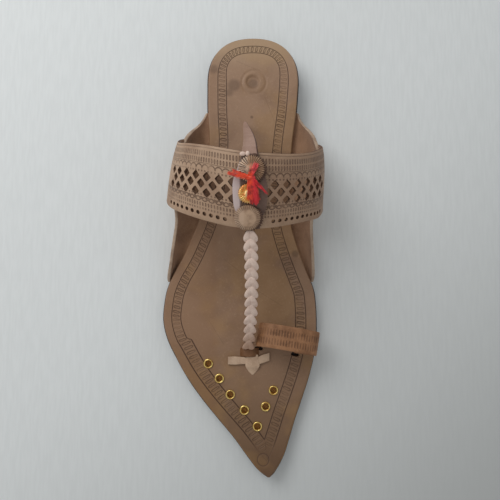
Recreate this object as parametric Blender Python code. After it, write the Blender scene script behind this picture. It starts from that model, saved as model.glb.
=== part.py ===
"""A Kolhapuri sandal for the right foot.

The origin is on the floor under the heel's centre. +X is the inner (big toe) side of the
foot, +Y points back to the heel, +Z is up. The unit is the metre.

A leather outsole and insole hold the lower edges of two side ears between them. A punched
instep band lies over the ears and is joined to them, and a pale centre strap goes over the
band, runs down to the toes as a braid and dives through the insole. The big toe has its
own loop.
"""
import math

import bmesh
import bpy
import numpy as np
from mathutils import Matrix, Vector

# Sole
SOLE_LENGTH = 0.300
HEEL_CENTRE = 0.037
HEEL_WIDTH = 0.0642
WAIST_WIDTH = 0.0590
BALL_WIDTH = 0.1062
OUTSOLE_THICK = 0.0055
INSOLE_THICK = 0.0035
HEEL_HEIGHT = 0.0090
TOE_SPRING = 0.0040
INSOLE_INSET = 0.0010
EDGE_ROUND = 0.0006
GAP = 0.0003

# Places along the sole, as shares of its length from the back of the heel
HEEL_CAP = 0.11
HEEL_BREAST = 0.262
ARCH_FRONT = 0.562
TOE_BEND = 0.870

# Upper
WALL = 0.0022
LAP = 0.0008
FLANGE = 0.0060
RECESS_PLAY = 0.0012
RECESS_STEP = 0.0005
EAR_REACH = 0.0480
EAR_ROWS = 7
BAND_WIDTH = 0.0410
BAND_END = 0.0080
DIAMOND_LONG = 0.0050
DIAMOND_ACROSS = 0.0052
DIAMOND_PITCH = 0.0076
DIAMOND_LATERAL = 0.0132
DIAMOND_MEDIAL = 0.0103
HOLE_DIAMETER = 0.0024
HOLE_START = 0.0140
HOLE_PITCH = 0.0041
PUNCHED_REACH = 0.0570
PANELS = 18

# Centre strap and braid
STRAP_WIDTH = 0.0182
STRAP_THICK = 0.0018
STRAP_SHARE = -0.0207
TAIL_TIP_WIDTH = 0.0016
TAIL_CLEAR = 0.0040
TAIL_RUN = 0.0352
TAIL_SWAY = -0.0034
BRAID_WIDTH = 0.0088
BRAID_THICK = 0.0044
BRAID_PITCH = 0.0060
BRAID_FOOT_SHARE = -0.0320
BRAID_FOOT_STATION = 0.7183
THONG_WIDTH = 0.0070
THONG_THICK = 0.0024

ACROSS = 5

# Toe loop
LOOP_WIDTH = 0.0155
LOOP_THICK = 0.0020
LOOP_SPAN = 0.0248
LOOP_HEIGHT = 0.0215
LOOP_SHARE = 0.1650
LOOP_STATION = 0.6966
LOOP_LEAN = 0.125
LOOP_TURN = math.radians(-9.5)
SLIT_PLAY = 0.0004

# Thong end on the insole
KNOT_SHARE = -0.0047
KNOT_STATION = 0.7450
KITE_ROOT = 0.0040
KITE_WIDTH = 0.0095
KITE_LENGTH = 0.0135
TOGGLE_LENGTH = 0.0280
TOGGLE_WIDTH = 0.0060
TOGGLE_THICK = 0.0016
TOGGLE_SHIFT = 0.0026
TOGGLE_BEND = math.radians(20.0)

# Ornaments on the centre strap, and the distance of each centre from the band's front edge
ROSETTE_DIAMETER = 0.0150
ROSETTE_HEIGHT = 0.0022
ROSETTE_TEETH = 16
GOLD_DIAMETER = 0.0119
GOLD_HEIGHT = 0.0015
GOLD_FLUTES = 16
ROSETTE_FRONT_AT = 0.0076
ROSETTE_FRONT_ACROSS = -0.0013
GOLD_AT = 0.0203
GOLD_ACROSS = -0.0007
ROSETTE_REAR_AT = 0.0322
ROSETTE_REAR_ACROSS = 0.0006
TASSEL_AT = 0.0282
LOCK_THICK = 0.0018
KNOT_DIAMETER = 0.0036
TASSEL_SEAT = 0.84

# Eyelets
EYELET_FLANGE = 0.0065
EYELET_BORE = 0.0042
EYELET_BARREL = 0.0052
EYELET_RISE = 0.0008
EYELET_PLAY = 0.0006
EYELET_SIDES = 9

# Outline of the sole: station, the width that the row follows, lateral and medial share
OUTLINE = (
    (0.110, "heel", 0.500, 0.500),
    (0.172, "heel", 0.498, 0.478),
    (0.250, "heel", 0.484, 0.433),
    (0.340, "waist", 0.559, 0.441),
    (0.426, "waist", 0.651, 0.445),
    (0.471, "ball", 0.412, 0.280),
    (0.506, "ball", 0.456, 0.314),
    (0.552, "ball", 0.526, 0.363),
    (0.586, "ball", 0.564, 0.398),
    (0.620, "ball", 0.581, 0.410),
    (0.655, "ball", 0.586, 0.414),
    (0.700, "ball", 0.556, 0.410),
    (0.744, "ball", 0.494, 0.389),
    (0.789, "ball", 0.420, 0.355),
    (0.833, "ball", 0.330, 0.313),
    (0.876, "ball", 0.229, 0.270),
    (0.920, "ball", 0.121, 0.230),
    (0.963, "ball", 0.027, 0.184),
    (0.984, "ball", -0.024, 0.148),
    (0.995, "ball", -0.062, 0.124),
    (1.000, "ball", -0.085, 0.106),
)
WIDTHS = {"heel": HEEL_WIDTH, "waist": WAIST_WIDTH, "ball": BALL_WIDTH}
STRAP_CENTRE = STRAP_SHARE * BALL_WIDTH

# Stations of the sole's lofts, close together where the outline turns
SOLE_STATIONS = (
    0.0, 0.003, 0.010, 0.022, 0.040, 0.070, 0.110, 0.150, 0.200, 0.250, 0.262, 0.300, 0.340, 0.380,
    0.420, 0.460, 0.500, 0.540, 0.580, 0.620, 0.655, 0.690, 0.720, 0.750, 0.790, 0.830, 0.870, 0.900,
    0.930, 0.955, 0.975, 0.988, 0.996, 1.0,
)

# The upper across the foot: root station, lateral and medial reach at the spring line as
# shares of the ball width, spring and crest height above the insole as shares of the
# instep height, and the forward lean of the section
INSTEP_HEIGHT = 0.0660
UPPER = (
    (0.170, 0.360, 0.335, 0.270, 1.060, 0.36),
    (0.240, 0.443, 0.395, 0.303, 1.000, 0.42),
    (0.362, 0.507, 0.397, 0.303, 0.820, 0.56),
    (0.460, 0.535, 0.400, 0.250, 0.700, 0.50),
    (0.570, 0.560, 0.405, 0.200, 0.560, 0.30),
)
BAND_FRONT_STATION = 0.362
BAND_ROOT_SHARE = 0.893
BAND_REAR_STATION = BAND_FRONT_STATION - BAND_ROOT_SHARE * BAND_WIDTH / SOLE_LENGTH
EAR_REAR_STATION = 0.176
EAR_FRONT_STATION = 0.566
RIDGE_SHARE = -0.019

# The band's edges as shares of its width: distance across from the centre line to the
# medial side, front edge and rear edge from the band's root line
BAND_EDGES = (
    (-1.46, 0.127, 1.063),
    (-0.98, 0.137, 1.098),
    (-0.59, 0.107, 1.098),
    (-0.29, 0.066, 1.071),
    (0.00, 0.041, 1.041),
    (0.29, 0.041, 1.015),
    (0.61, 0.046, 0.990),
    (0.93, 0.032, 0.976),
    (1.27, -0.020, 0.980),
)

# The ear's upper edge: share of the way from its rear to its front end, share of its reach
EAR_EDGE = (
    (0.000, 0.045),
    (0.035, 0.090),
    (0.060, 0.155),
    (0.080, 0.235),
    (0.100, 0.360),
    (0.120, 0.470),
    (0.150, 0.560),
    (0.210, 0.720),
    (0.300, 0.800),
    (0.400, 0.720),
    (0.480, 0.600),
    (0.590, 0.455),
    (0.720, 0.380),
    (0.845, 0.298),
    (0.930, 0.205),
    (1.000, 0.050),
)

# Rows of the band's diamonds: share of its width from the front, offset in pitches
DIAMOND_ROWS = ((0.395, 0.5), (0.503, 0.0), (0.598, 0.5))
HOLE_ROW = 0.104

# The centre strap over the band: share of the band's width from the front, share of its own width
STRAP_SHAPE = (
    (0.00, 0.56),
    (0.15, 0.66),
    (0.32, 0.94),
    (0.45, 1.00),
    (0.62, 0.97),
    (0.76, 0.74),
    (0.90, 0.52),
    (1.00, 0.45),
)

# Toe loop's curve: share of half the span from the centre, share of the height
LOOP_CURVE = (
    (-1.00, 0.00),
    (-1.09, 0.25),
    (-1.13, 0.58),
    (-0.78, 0.90),
    (0.10, 1.00),
    (1.10, 0.95),
    (1.85, 0.72),
    (1.90, 0.42),
    (1.40, 0.18),
    (1.00, 0.00),
)

# Locks of the tassel: across the strap, distance from the band's front edge, width share
TASSEL_LOCKS = (
    (-0.0109, 0.0289, 0.8),
    (-0.0086, 0.0310, 0.7),
    (0.0029, 0.0349, 0.8),
    (0.0014, 0.0141, 1.0),
    (0.0034, 0.0146, 1.1),
    (0.0052, 0.0172, 1.0),
    (0.0079, 0.0214, 0.7),
)

# Eyelets in a V at the toe: across and along, as shares of the ball width and sole length
EYELETS = (
    (-0.287, 0.7523),
    (-0.216, 0.7850),
    (-0.146, 0.8207),
    (-0.056, 0.8547),
    (0.026, 0.8903),
    (0.078, 0.8470),
    (0.128, 0.8113),
)


def material(name, colour, roughness, metallic=0.0):
    """A Principled material of one colour."""
    mat = bpy.data.materials.new(name)
    mat.use_nodes = True
    shader = mat.node_tree.nodes["Principled BSDF"]
    shader.inputs["Base Color"].default_value = (*colour, 1.0)
    shader.inputs["Roughness"].default_value = roughness
    shader.inputs["Metallic"].default_value = metallic
    mat.diffuse_color = (*colour, 1.0)
    return mat


def hermite(xs, ys, x):
    """Smooth curve through the points (xs, ys), read at x."""
    xs = np.asarray(xs, float)
    ys = np.asarray(ys, float)
    slope = np.gradient(ys, xs)
    x = np.clip(np.asarray(x, float), xs[0], xs[-1])
    i = np.clip(np.searchsorted(xs, x) - 1, 0, len(xs) - 2)
    step = xs[i + 1] - xs[i]
    t = (x - xs[i]) / step
    rise = ys[i + 1] * (3 * t**2 - 2 * t**3) + ys[i] * (1 - 3 * t**2 + 2 * t**3)
    return rise + step * (slope[i] * (t**3 - 2 * t**2 + t) + slope[i + 1] * (t**3 - t**2))


def ramp(t):
    """Smooth step from 0 to 1."""
    t = min(max(t, 0.0), 1.0)
    return t * t * (3 - 2 * t)


def station_y(station):
    """World y of a station, counted as a share of the sole from the back of the heel."""
    return HEEL_CENTRE - station * SOLE_LENGTH


def outline(station):
    """World x of the sole's lateral and medial edge at a station."""
    if station < HEEL_CAP:
        inner = max(station, 0.0006) / HEEL_CAP
        half = HEEL_WIDTH / 2 * (1 - (1 - inner) ** 2.5) ** (1 / 2.5)
        return -half, half
    rows = [row[0] for row in OUTLINE]
    lateral = hermite(rows, [row[2] * WIDTHS[row[1]] for row in OUTLINE], station)
    medial = hermite(rows, [row[3] * WIDTHS[row[1]] for row in OUTLINE], station)
    return -float(lateral), float(medial)


def base_height(station):
    """Height of the outsole's underside: flat forefoot, raised heel, lifted toe."""
    heel = (HEEL_HEIGHT + GAP) * ramp((ARCH_FRONT - station) / (ARCH_FRONT - HEEL_BREAST))
    toe = TOE_SPRING * max(0.0, (station - TOE_BEND) / (1 - TOE_BEND)) ** 2
    return heel + toe


def outsole_top(station):
    return base_height(station) + OUTSOLE_THICK


def insole_bottom(station):
    return outsole_top(station) + GAP


def insole_top(station):
    return insole_bottom(station) + INSOLE_THICK


def insole_top_at(y):
    """Height of the insole's upper face at a world y."""
    return insole_top((HEEL_CENTRE - y) / SOLE_LENGTH)


def link(mesh, name, mat, collection):
    """Make an object of a mesh, in a collection, with its material."""
    obj = bpy.data.objects.new(name, mesh)
    collection.objects.link(obj)
    mesh.materials.append(mat)
    return obj


def loft(name, sections, mat, collection, smooth=True):
    """A closed solid through sections that have the same number of points."""
    bm = bmesh.new()
    rings = [[bm.verts.new(point) for point in section] for section in sections]
    count = len(rings[0])
    for ring, following in zip(rings, rings[1:]):
        for i in range(count):
            j = (i + 1) % count
            bm.faces.new((ring[i], ring[j], following[j], following[i]))
    bm.faces.new(rings[0])
    bm.faces.new(rings[-1])
    bmesh.ops.recalc_face_normals(bm, faces=bm.faces)
    mesh = bpy.data.meshes.new(name)
    bm.to_mesh(mesh)
    bm.free()
    if smooth:
        mesh.shade_smooth()
        mesh.set_sharp_from_angle(angle=math.radians(35))
    return link(mesh, name, mat, collection)


def both_sides(left, right, y, side):
    """A section across the sole from one side's (inset, height) pairs, upward."""
    lateral = [(left + inset, y, z) for inset, z in side]
    medial = [(right - inset, y, z) for inset, z in reversed(side)]
    return lateral + medial


def boolean(obj, other, operation):
    """Cut an object with another, or join the other to it."""
    mod = obj.modifiers.new(other.name, "BOOLEAN")
    mod.object = other
    mod.operation = operation
    mod.solver = "EXACT"
    other.hide_render = True
    other.display_type = "WIRE"


def upper_edge(station):
    """The outsole's upper edge as (inset, drop) pairs: round, or the recess for the ears' flanges."""
    play = RECESS_PLAY / SOLE_LENGTH
    if EAR_REAR_STATION - play <= station <= EAR_FRONT_STATION + play:
        depth = INSOLE_INSET + FLANGE + GAP
        drop = WALL + GAP
        return (0.0, drop), (depth, drop), (depth, 0.0)
    return (0.0, EDGE_ROUND), (EDGE_ROUND * 0.3, EDGE_ROUND * 0.3), (EDGE_ROUND, 0.0)


def outsole_stations():
    """The sole's stations, with a pair at each end of the recess."""
    inside = RECESS_PLAY / SOLE_LENGTH
    outside = inside + RECESS_STEP / SOLE_LENGTH
    ends = (
        EAR_REAR_STATION - outside,
        EAR_REAR_STATION - inside,
        EAR_FRONT_STATION + inside,
        EAR_FRONT_STATION + outside,
    )
    kept = [s for s in SOLE_STATIONS if all(abs(s - end) > outside for end in ends)]
    return sorted([*kept, *ends])


def make_outsole(mat, collection):
    """Outsole, with the recess for the ears along both edges of the waist."""
    sections = []
    for station in outsole_stations():
        y = station_y(station)
        left, right = outline(station)
        low = base_height(station)
        top = low + OUTSOLE_THICK
        narrow = (right - left) * 0.3
        side = [(min(EDGE_ROUND, narrow), low), (0.0, low + EDGE_ROUND)]
        side += [(min(inset, narrow), top - drop) for inset, drop in upper_edge(station)]
        sections.append(both_sides(left, right, y, side))
    return loft("outsole", sections, mat, collection)


def make_insole(mat, collection):
    """Insole: a rounded upper edge all round."""
    sections = []
    length = SOLE_LENGTH - 2 * INSOLE_INSET
    for station in SOLE_STATIONS:
        y = HEEL_CENTRE - INSOLE_INSET - station * length
        left, right = outline(station)
        inset = min(INSOLE_INSET, (right - left) * 0.15)
        nip = min(EDGE_ROUND, (right - left) * 0.1)
        low = insole_bottom((HEEL_CENTRE - y) / SOLE_LENGTH)
        top = low + INSOLE_THICK
        side = [(inset, low), (inset, top - EDGE_ROUND), (inset + nip, top)]
        sections.append(both_sides(left, right, y, side))
    return loft("insole", sections, mat, collection)


def make_heel(mat, collection):
    """Heel of two stacked lifts, with a groove where they meet."""
    sections = []
    groove = EDGE_ROUND
    half = HEEL_HEIGHT / 2
    for station in [s for s in SOLE_STATIONS if s <= HEEL_BREAST]:
        y = station_y(station)
        left, right = outline(station)
        nip = min(EDGE_ROUND, (right - left) * 0.2)
        side = [
            (nip, 0.0), (0.0, EDGE_ROUND), (0.0, half - groove), (nip, half),
            (0.0, half + groove), (0.0, HEEL_HEIGHT),
        ]
        sections.append(both_sides(left, right, y, side))
    return loft("heel", sections, mat, collection)


def upper_row(station):
    """Sizes of the upper's section at a root station."""
    rows = [row[0] for row in UPPER]
    values = [float(hermite(rows, [row[i] for row in UPPER], station)) for i in range(1, 6)]
    lateral, medial, spring, crest, lean = values
    return (-lateral * BALL_WIDTH, medial * BALL_WIDTH, spring * INSTEP_HEIGHT,
            crest * INSTEP_HEIGHT, lean)


def bezier(points, t):
    """Cubic curve with four control points."""
    a, b, c, d = (np.asarray(p, float) for p in points)
    t = np.asarray(t)[:, None]
    return a * (1 - t)**3 + 3 * b * t * (1 - t)**2 + 3 * c * t**2 * (1 - t) + d * t**3


def leg(edge, reach, low, spring, side):
    """The upper's side from its flange in the sole up to the spring line."""
    start = edge - side * INSOLE_INSET
    handle = max(0.005, 0.6 * abs(reach - start))
    flange = np.array([[start - side * FLANGE, low]])
    rise = bezier(
        ((start, low), (start + side * handle, low), (reach, spring - 0.5 * (spring - low)),
         (reach, spring)), np.linspace(0, 1, 25))
    return np.vstack([flange, rise])


def upper_section(station):
    """Points of the upper's section at a root station, from the lateral to the medial flange."""
    left, right = outline(station)
    lateral, medial, spring, crest, lean = upper_row(station)
    low = outsole_top(station) - WALL
    floor = insole_top(station)
    ridge = RIDGE_SHARE * BALL_WIDTH
    lateral_leg = leg(left, lateral, low, floor + spring, -1)
    medial_leg = leg(right, medial, low, floor + spring, 1)
    turn = np.linspace(-math.pi / 2, math.pi / 2, 61)[1:-1]
    side = np.where(turn < 0, ridge - lateral, medial - ridge)
    arch = np.column_stack([ridge + side * np.sin(turn), floor + spring + (crest - spring) * np.cos(turn)])
    flat = np.vstack([lateral_leg, arch, medial_leg[::-1]])
    y = station_y(station) - lean * (flat[:, 1] - low)
    return np.column_stack([flat[:, 0], y, flat[:, 1]])


class Upper:
    """The upper's surface, read by station and by the distance along the section."""

    def __init__(self):
        self.cache = {}

    def section(self, station):
        key = round(station, 6)
        if key not in self.cache:
            points = upper_section(station)
            steps = np.linalg.norm(np.diff(points, axis=0), axis=1)
            along = np.concatenate([[0.0], np.cumsum(steps)])
            self.cache[key] = (points, along)
        return self.cache[key]

    def length(self, station):
        return self.section(station)[1][-1]

    def ridge_distance(self, station):
        """Distance along the section to the centre strap's line."""
        points, along = self.section(station)
        return float(np.interp(STRAP_CENTRE, points[:, 0][26:-26], along[26:-26]))

    def place(self, station, distance):
        points, along = self.section(station)
        return np.array([np.interp(distance, along, points[:, i]) for i in range(3)])

    def point(self, station, distance, lift):
        """A point at a distance along the section, lifted off the surface along its normal."""
        small = 0.0008
        step = small / SOLE_LENGTH
        share = distance / self.length(station)
        before = self.place(station - step, share * self.length(station - step))
        after = self.place(station + step, share * self.length(station + step))
        along = self.place(station, distance + small) - self.place(station, distance - small)
        normal = np.cross(after - before, along)
        normal /= np.linalg.norm(normal)
        return self.place(station, distance) + lift * normal


def band_station(front_distance, across=0.0):
    """Root station of a place on the band, by its distances from the front edge and the centre."""
    marks = [row[0] for row in BAND_EDGES]
    front, rear = (hermite(marks, [row[i] for row in BAND_EDGES], across / BAND_WIDTH) for i in (1, 2))
    share = float(front + (rear - front) * front_distance / BAND_WIDTH)
    return BAND_FRONT_STATION + (BAND_REAR_STATION - BAND_FRONT_STATION) * share


def make_ear(upper, side, mat, collection):
    """One side ear: its flange in the sole, its wall up under the band."""
    sections = []
    marks = [row[0] for row in EAR_EDGE]
    edge = [row[1] for row in EAR_EDGE]
    for share in marks:
        station = EAR_REAR_STATION + (EAR_FRONT_STATION - EAR_REAR_STATION) * share
        reach = EAR_REACH * edge[marks.index(share)]
        distances = [0.02 * FLANGE, *(FLANGE + reach * np.linspace(0, 1, EAR_ROWS)**1.15)]
        whole = upper.length(station)
        outer = []
        inner = []
        for distance in distances:
            along = distance if side < 0 else whole - distance
            lift = LAP * ramp(distance / FLANGE - 0.8)
            outer.append(upper.point(station, along, lift))
            inner.append(upper.point(station, along, lift - WALL))
        sections.append(outer + inner[::-1])
    name = "ear_lateral" if side < 0 else "ear_medial"
    return loft(name, sections, mat, collection)


def flat_band(length):
    """The band as cut from the hide: a strip with its punched holes, as a flat curve."""
    curve = bpy.data.curves.new("band_pattern", "CURVE")
    curve.dimensions = "2D"
    curve.fill_mode = "BOTH"
    curve.extrude = WALL / 2

    def closed(points):
        spline = curve.splines.new("POLY")
        spline.points.add(len(points) - 1)
        spline.use_cyclic_u = True
        for item, (x, y) in zip(spline.points, points):
            item.co = (x, y, 0.0, 1.0)

    half = length / 2
    closed([(-half, 0), (half, 0), (half, BAND_WIDTH), (-half, BAND_WIDTH)])
    a = DIAMOND_ACROSS / 2
    b = DIAMOND_LONG / 2
    for side, start in ((-1, DIAMOND_LATERAL), (1, DIAMOND_MEDIAL)):
        for row, offset in DIAMOND_ROWS:
            y = row * BAND_WIDTH
            first = start + (offset - 1) * DIAMOND_PITCH
            for x in np.arange(first, PUNCHED_REACH, DIAMOND_PITCH):
                if x + a / 2 > STRAP_WIDTH / 2:
                    closed([(side * x - a, y), (side * x, y - b), (side * x + a, y), (side * x, y + b)])
        for x in np.arange(HOLE_START, PUNCHED_REACH, HOLE_PITCH):
            closed([
                (side * x + HOLE_DIAMETER / 2 * math.cos(turn),
                 HOLE_ROW * BAND_WIDTH + HOLE_DIAMETER / 2 * math.sin(turn))
                for turn in np.linspace(0, 2 * math.pi, 7)[:-1]
            ])
    return curve


def make_band(upper, mat, collection):
    """The punched instep band: the flat strip, cut into panels and bent over the foot."""
    middle = band_station(BAND_WIDTH / 2)
    lateral_half = upper.ridge_distance(middle) - FLANGE - BAND_END
    medial_half = upper.length(middle) - upper.ridge_distance(middle) - FLANGE - BAND_END
    length = 2 * max(lateral_half, medial_half)
    curve = flat_band(length)
    pattern = bpy.data.objects.new("band_pattern", curve)
    collection.objects.link(pattern)
    graph = bpy.context.evaluated_depsgraph_get()
    mesh = bpy.data.meshes.new_from_object(pattern.evaluated_get(graph))
    bpy.data.objects.remove(pattern)
    bm = bmesh.new()
    bm.from_mesh(mesh)
    bpy.data.meshes.remove(mesh)
    bmesh.ops.remove_doubles(bm, verts=bm.verts, dist=1e-6)
    for i in range(1, PANELS):
        x = length * (i / PANELS - 0.5)
        bmesh.ops.bisect_plane(bm, geom=[*bm.verts, *bm.edges, *bm.faces], dist=1e-7,
                               plane_co=(x, 0, 0), plane_no=(1, 0, 0))
    for vert in bm.verts:
        x, y, z = vert.co
        station = band_station(y, x)
        ridge = upper.ridge_distance(station)
        whole = upper.length(station)
        reach = ridge if x < 0 else whole - ridge
        distance = ridge + x / (length / 2) * (reach - FLANGE - BAND_END)
        vert.co = upper.point(station, distance, z + WALL / 2)
    bmesh.ops.recalc_face_normals(bm, faces=bm.faces)
    mesh = bpy.data.meshes.new("upper")
    bm.to_mesh(mesh)
    bm.free()
    return link(mesh, "upper", mat, collection)


def make_upper(upper, mat, collection, cutters):
    """Instep band and both ears, joined where they lap."""
    band = make_band(upper, mat, collection)
    for side in (-1, 1):
        boolean(band, make_ear(upper, side, mat, cutters), "UNION")
    return band


def crest(upper, front_distance, across, lift):
    """A point over the band: distance from its front edge, distance across, height above it."""
    station = band_station(front_distance, across)
    distance = upper.ridge_distance(station) + across
    return Vector(upper.point(station, distance, WALL + lift))


def strap_ring(centre, normal, half_left, half_right, lower, upper_side):
    """A strap's section off the band: flat across, with the given heights above its line."""
    ring = []
    across = np.linspace(-1, 1, len(lower))
    for share, height in zip(across, lower):
        half = half_left if share < 0 else half_right
        ring.append(centre + Vector((share * half, 0, 0)) + normal * height)
    for share, height in reversed(list(zip(across, upper_side))):
        half = half_left if share < 0 else half_right
        ring.append(centre + Vector((share * half, 0, 0)) + normal * height)
    return ring


def strap_width(share):
    """Width of the centre strap over the band, by the share of the band's width from the front."""
    marks = [row[0] for row in STRAP_SHAPE]
    return STRAP_WIDTH * float(hermite(marks, [row[1] for row in STRAP_SHAPE], share))


def tail_rings(upper):
    """The strap's tapered tail, folded over the band's rear edge and hanging behind it."""
    top = crest(upper, BAND_WIDTH, 0.0, GAP)
    ahead = crest(upper, BAND_WIDTH * 0.9, 0.0, GAP)
    along = (top - ahead).normalized()
    up = Vector((0, -along.z, along.y))
    fold = top + along * 3 * GAP
    hem = fold + along * 3 * GAP - up * WALL
    tip_y = hem.y + TAIL_RUN
    tip = Vector((hem.x + TAIL_SWAY, tip_y, insole_top_at(tip_y) + TAIL_CLEAR))
    run = hem - tip
    near_tip = tip + Vector((run.x * 0.2, run.y * 0.32, run.z * 0.38))
    near_hem = hem - Vector((0, run.y * 0.32, run.z * 0.22))
    line = bezier((tip, near_tip, near_hem, hem), np.linspace(0, 1, 6))
    points = [Vector(p) for p in line] + [fold]
    rings = []
    for i, point in enumerate(points):
        way = points[min(i + 1, len(points) - 1)] - points[max(i - 1, 0)]
        normal = Vector((0, way.z, -way.y)).normalized()
        share = i / (len(points) - 1)
        half = (TAIL_TIP_WIDTH + (strap_width(1.0) - TAIL_TIP_WIDTH) * share**0.8) / 2
        rings.append(strap_ring(point, normal, half, half, [0.0] * ACROSS, [STRAP_THICK] * ACROSS))
    return rings


def band_rings(upper):
    """The strap's flat run over the band, which follows the band's curve."""
    rings = []
    for share in np.linspace(0.97, 0.03, 11):
        half = strap_width(share) / 2
        across = np.linspace(-half, half, ACROSS)
        front = share * BAND_WIDTH
        lower = [crest(upper, front, x, GAP) for x in across]
        raised = [crest(upper, front, x, GAP + STRAP_THICK) for x in across]
        rings.append(lower + raised[::-1])
    return rings


def braid_foot():
    """Where the braid meets the insole."""
    y = station_y(BRAID_FOOT_STATION)
    return Vector((BRAID_FOOT_SHARE * BALL_WIDTH, y, insole_top_at(y)))


def braid_line(upper):
    """Control points of the braid's curve, from the band's front edge down to the insole."""
    top = crest(upper, 0.0, 0.0, GAP)
    behind = crest(upper, BAND_WIDTH * 0.1, 0.0, GAP)
    along = (top - behind).normalized()
    start = top + along * WALL * 0.7
    end = braid_foot() + Vector((0, 0, THONG_THICK * 0.6))
    span = start - end
    return (start, start + along * span.y * 0.30, end + Vector((0, span.y * 0.22, span.z * 0.46)), end)


def braid_rings(upper):
    """The braid: one wall whose lobes stand out left and right by turns."""
    control = braid_line(upper)
    probe = bezier(control, np.linspace(0, 1, 60))
    length = float(np.sum(np.linalg.norm(np.diff(probe, axis=0), axis=1)))
    count = int(length / BRAID_PITCH * 4)
    points = [Vector(p) for p in bezier(control, np.linspace(0, 1, count))]
    across = np.linspace(-1, 1, ACROSS)
    dome = np.sqrt(1 - 0.86 * across**2)
    rings = []
    for i, point in enumerate(points):
        way = points[min(i + 1, count - 1)] - points[max(i - 1, 0)]
        normal = Vector((0, -way.z, way.y)).normalized()
        if normal.z < 0:
            normal = -normal
        phase = math.pi * length * i / (count - 1) / BRAID_PITCH
        blend = ramp(i / 5)
        wide = strap_width(0.0) / 2 * (1 - blend)
        left = BRAID_WIDTH / 2 * (0.86 + 0.14 * math.cos(phase)) * blend + wide
        right = BRAID_WIDTH / 2 * (0.86 - 0.14 * math.cos(phase)) * blend + wide
        lobe = 0.86 + 0.14 * np.cos(phase + np.sign(across) * math.pi / 2 - across * 1.2)
        raised = STRAP_THICK * (1 - blend) + BRAID_THICK * 0.65 * dome * lobe * blend
        lower = -BRAID_THICK * 0.35 * dome * blend
        rings.append(strap_ring(point, normal, left, right, lower, raised))
    return rings


def thong_rings():
    """The braid's end: a plain thong that dives through the insole."""
    rings = []
    foot = braid_foot()
    behind = [THONG_THICK / 2] * ACROSS
    ahead = [-THONG_THICK / 2] * ACROSS
    for drop in (-GAP, INSOLE_THICK):
        centre = foot - Vector((0, 0, drop))
        rings.append(strap_ring(centre, Vector((0, 1, 0)), THONG_WIDTH / 2, THONG_WIDTH / 2, ahead, behind))
    return rings


def make_centre_strap(upper, mat, collection):
    """Centre strap with its tail, braid and thong, one wall from end to end."""
    rings = tail_rings(upper) + band_rings(upper) + braid_rings(upper) + thong_rings()
    return loft("centre_strap", rings, mat, collection)


def loop_points():
    """The toe loop's curve in its own plane: across and up from the insole."""
    across = [row[0] * LOOP_SPAN / 2 for row in LOOP_CURVE]
    up = [row[1] * LOOP_HEIGHT for row in LOOP_CURVE]
    marks = list(range(len(LOOP_CURVE)))
    reads = np.linspace(0, marks[-1], 28)
    arch = [(float(hermite(marks, across, t)), float(hermite(marks, up, t))) for t in reads]
    half = LOOP_SPAN / 2
    return [(-half, -INSOLE_THICK), *arch, (half, -INSOLE_THICK)]


def loop_place():
    """Where the toe loop stands on the insole."""
    x = LOOP_SHARE * BALL_WIDTH
    y = station_y(LOOP_STATION)
    return Matrix.Translation((x, y, insole_top_at(y))) @ Matrix.Rotation(LOOP_TURN, 4, "Z")


def make_toe_loop(mat, collection):
    """The big toe's loop, a strap that dives into the insole at both ends."""
    place = loop_place()
    points = [Vector((x, 0, z)) for x, z in loop_points()]
    sections = []
    half = LOOP_WIDTH / 2
    for i, point in enumerate(points):
        way = points[min(i + 1, len(points) - 1)] - points[max(i - 1, 0)]
        if i < 2 or i > len(points) - 3:
            way = Vector((0, 0, 1 if i < 2 else -1))
        normal = Vector((-way.z, 0, way.x)).normalized() * (LOOP_THICK / 2)
        corners = ((-half, 1), (half, 1), (half, -1), (-half, -1))
        lean = Vector((0, LOOP_LEAN * max(point.z, 0.0), 0))
        sections.append([place @ (point + lean + normal * face + Vector((0, y, 0))) for y, face in corners])
    return loft("toe_loop", sections, mat, collection)


def knot_centre():
    """Where the thong's end crosses its toggle."""
    return KNOT_SHARE * BALL_WIDTH, station_y(KNOT_STATION)


def make_toggle(mat, collection):
    """The small leather toggle that keeps the thong from pulling out."""
    x, y = knot_centre()
    sections = []
    for share, width in ((-1, 0.86), (-0.7, 0.92), (-0.3, 0.80), (0.3, 0.80), (0.7, 0.94), (1, 0.90)):
        half = TOGGLE_WIDTH / 2 * width
        along = share * TOGGLE_LENGTH / 2 - TOGGLE_SHIFT
        rise = max(0.0, along - KITE_ROOT) * math.tan(TOGGLE_BEND)
        ring = []
        for across, z in ((-half, 0), (half, 0), (half, TOGGLE_THICK), (-half, TOGGLE_THICK)):
            ring.append(Vector((x + along, y + rise + across, insole_top_at(y) + GAP + z)))
        sections.append(ring)
    return loft("thong_toggle", sections, mat, collection)


def make_kite(mat, collection):
    """The thong's kite-shaped end, laid over the toggle."""
    x, y = knot_centre()
    sections = []
    rows = ((0.0, 0.80, 1.0), (0.30, 0.92, 1.0), (0.58, 1.0, 1.0), (0.78, 0.72, 0.3), (1.0, 0.14, 0.0))
    lift = GAP + TOGGLE_THICK
    for share, width, raised in rows:
        half = KITE_WIDTH / 2 * width
        along = y + KITE_ROOT - share * KITE_LENGTH
        low = insole_top_at(y) + GAP + lift * raised
        sections.append([
            (x - half, along, low), (x + half, along, low),
            (x + half, along, low + STRAP_THICK), (x - half, along, low + STRAP_THICK),
        ])
    return loft("thong_end", sections, mat, collection)


def crest_frame(upper, front_distance, across, lift):
    """Place and turn of an ornament that lies on the centre strap."""
    centre = crest(upper, front_distance, across, lift)
    back = crest(upper, front_distance + 0.002, across, lift)
    y_axis = (back - centre).normalized()
    x_axis = Vector((1, 0, 0))
    z_axis = x_axis.cross(y_axis)
    turn = Matrix((x_axis, y_axis, z_axis)).transposed().to_4x4()
    return Matrix.Translation(centre) @ turn


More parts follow.
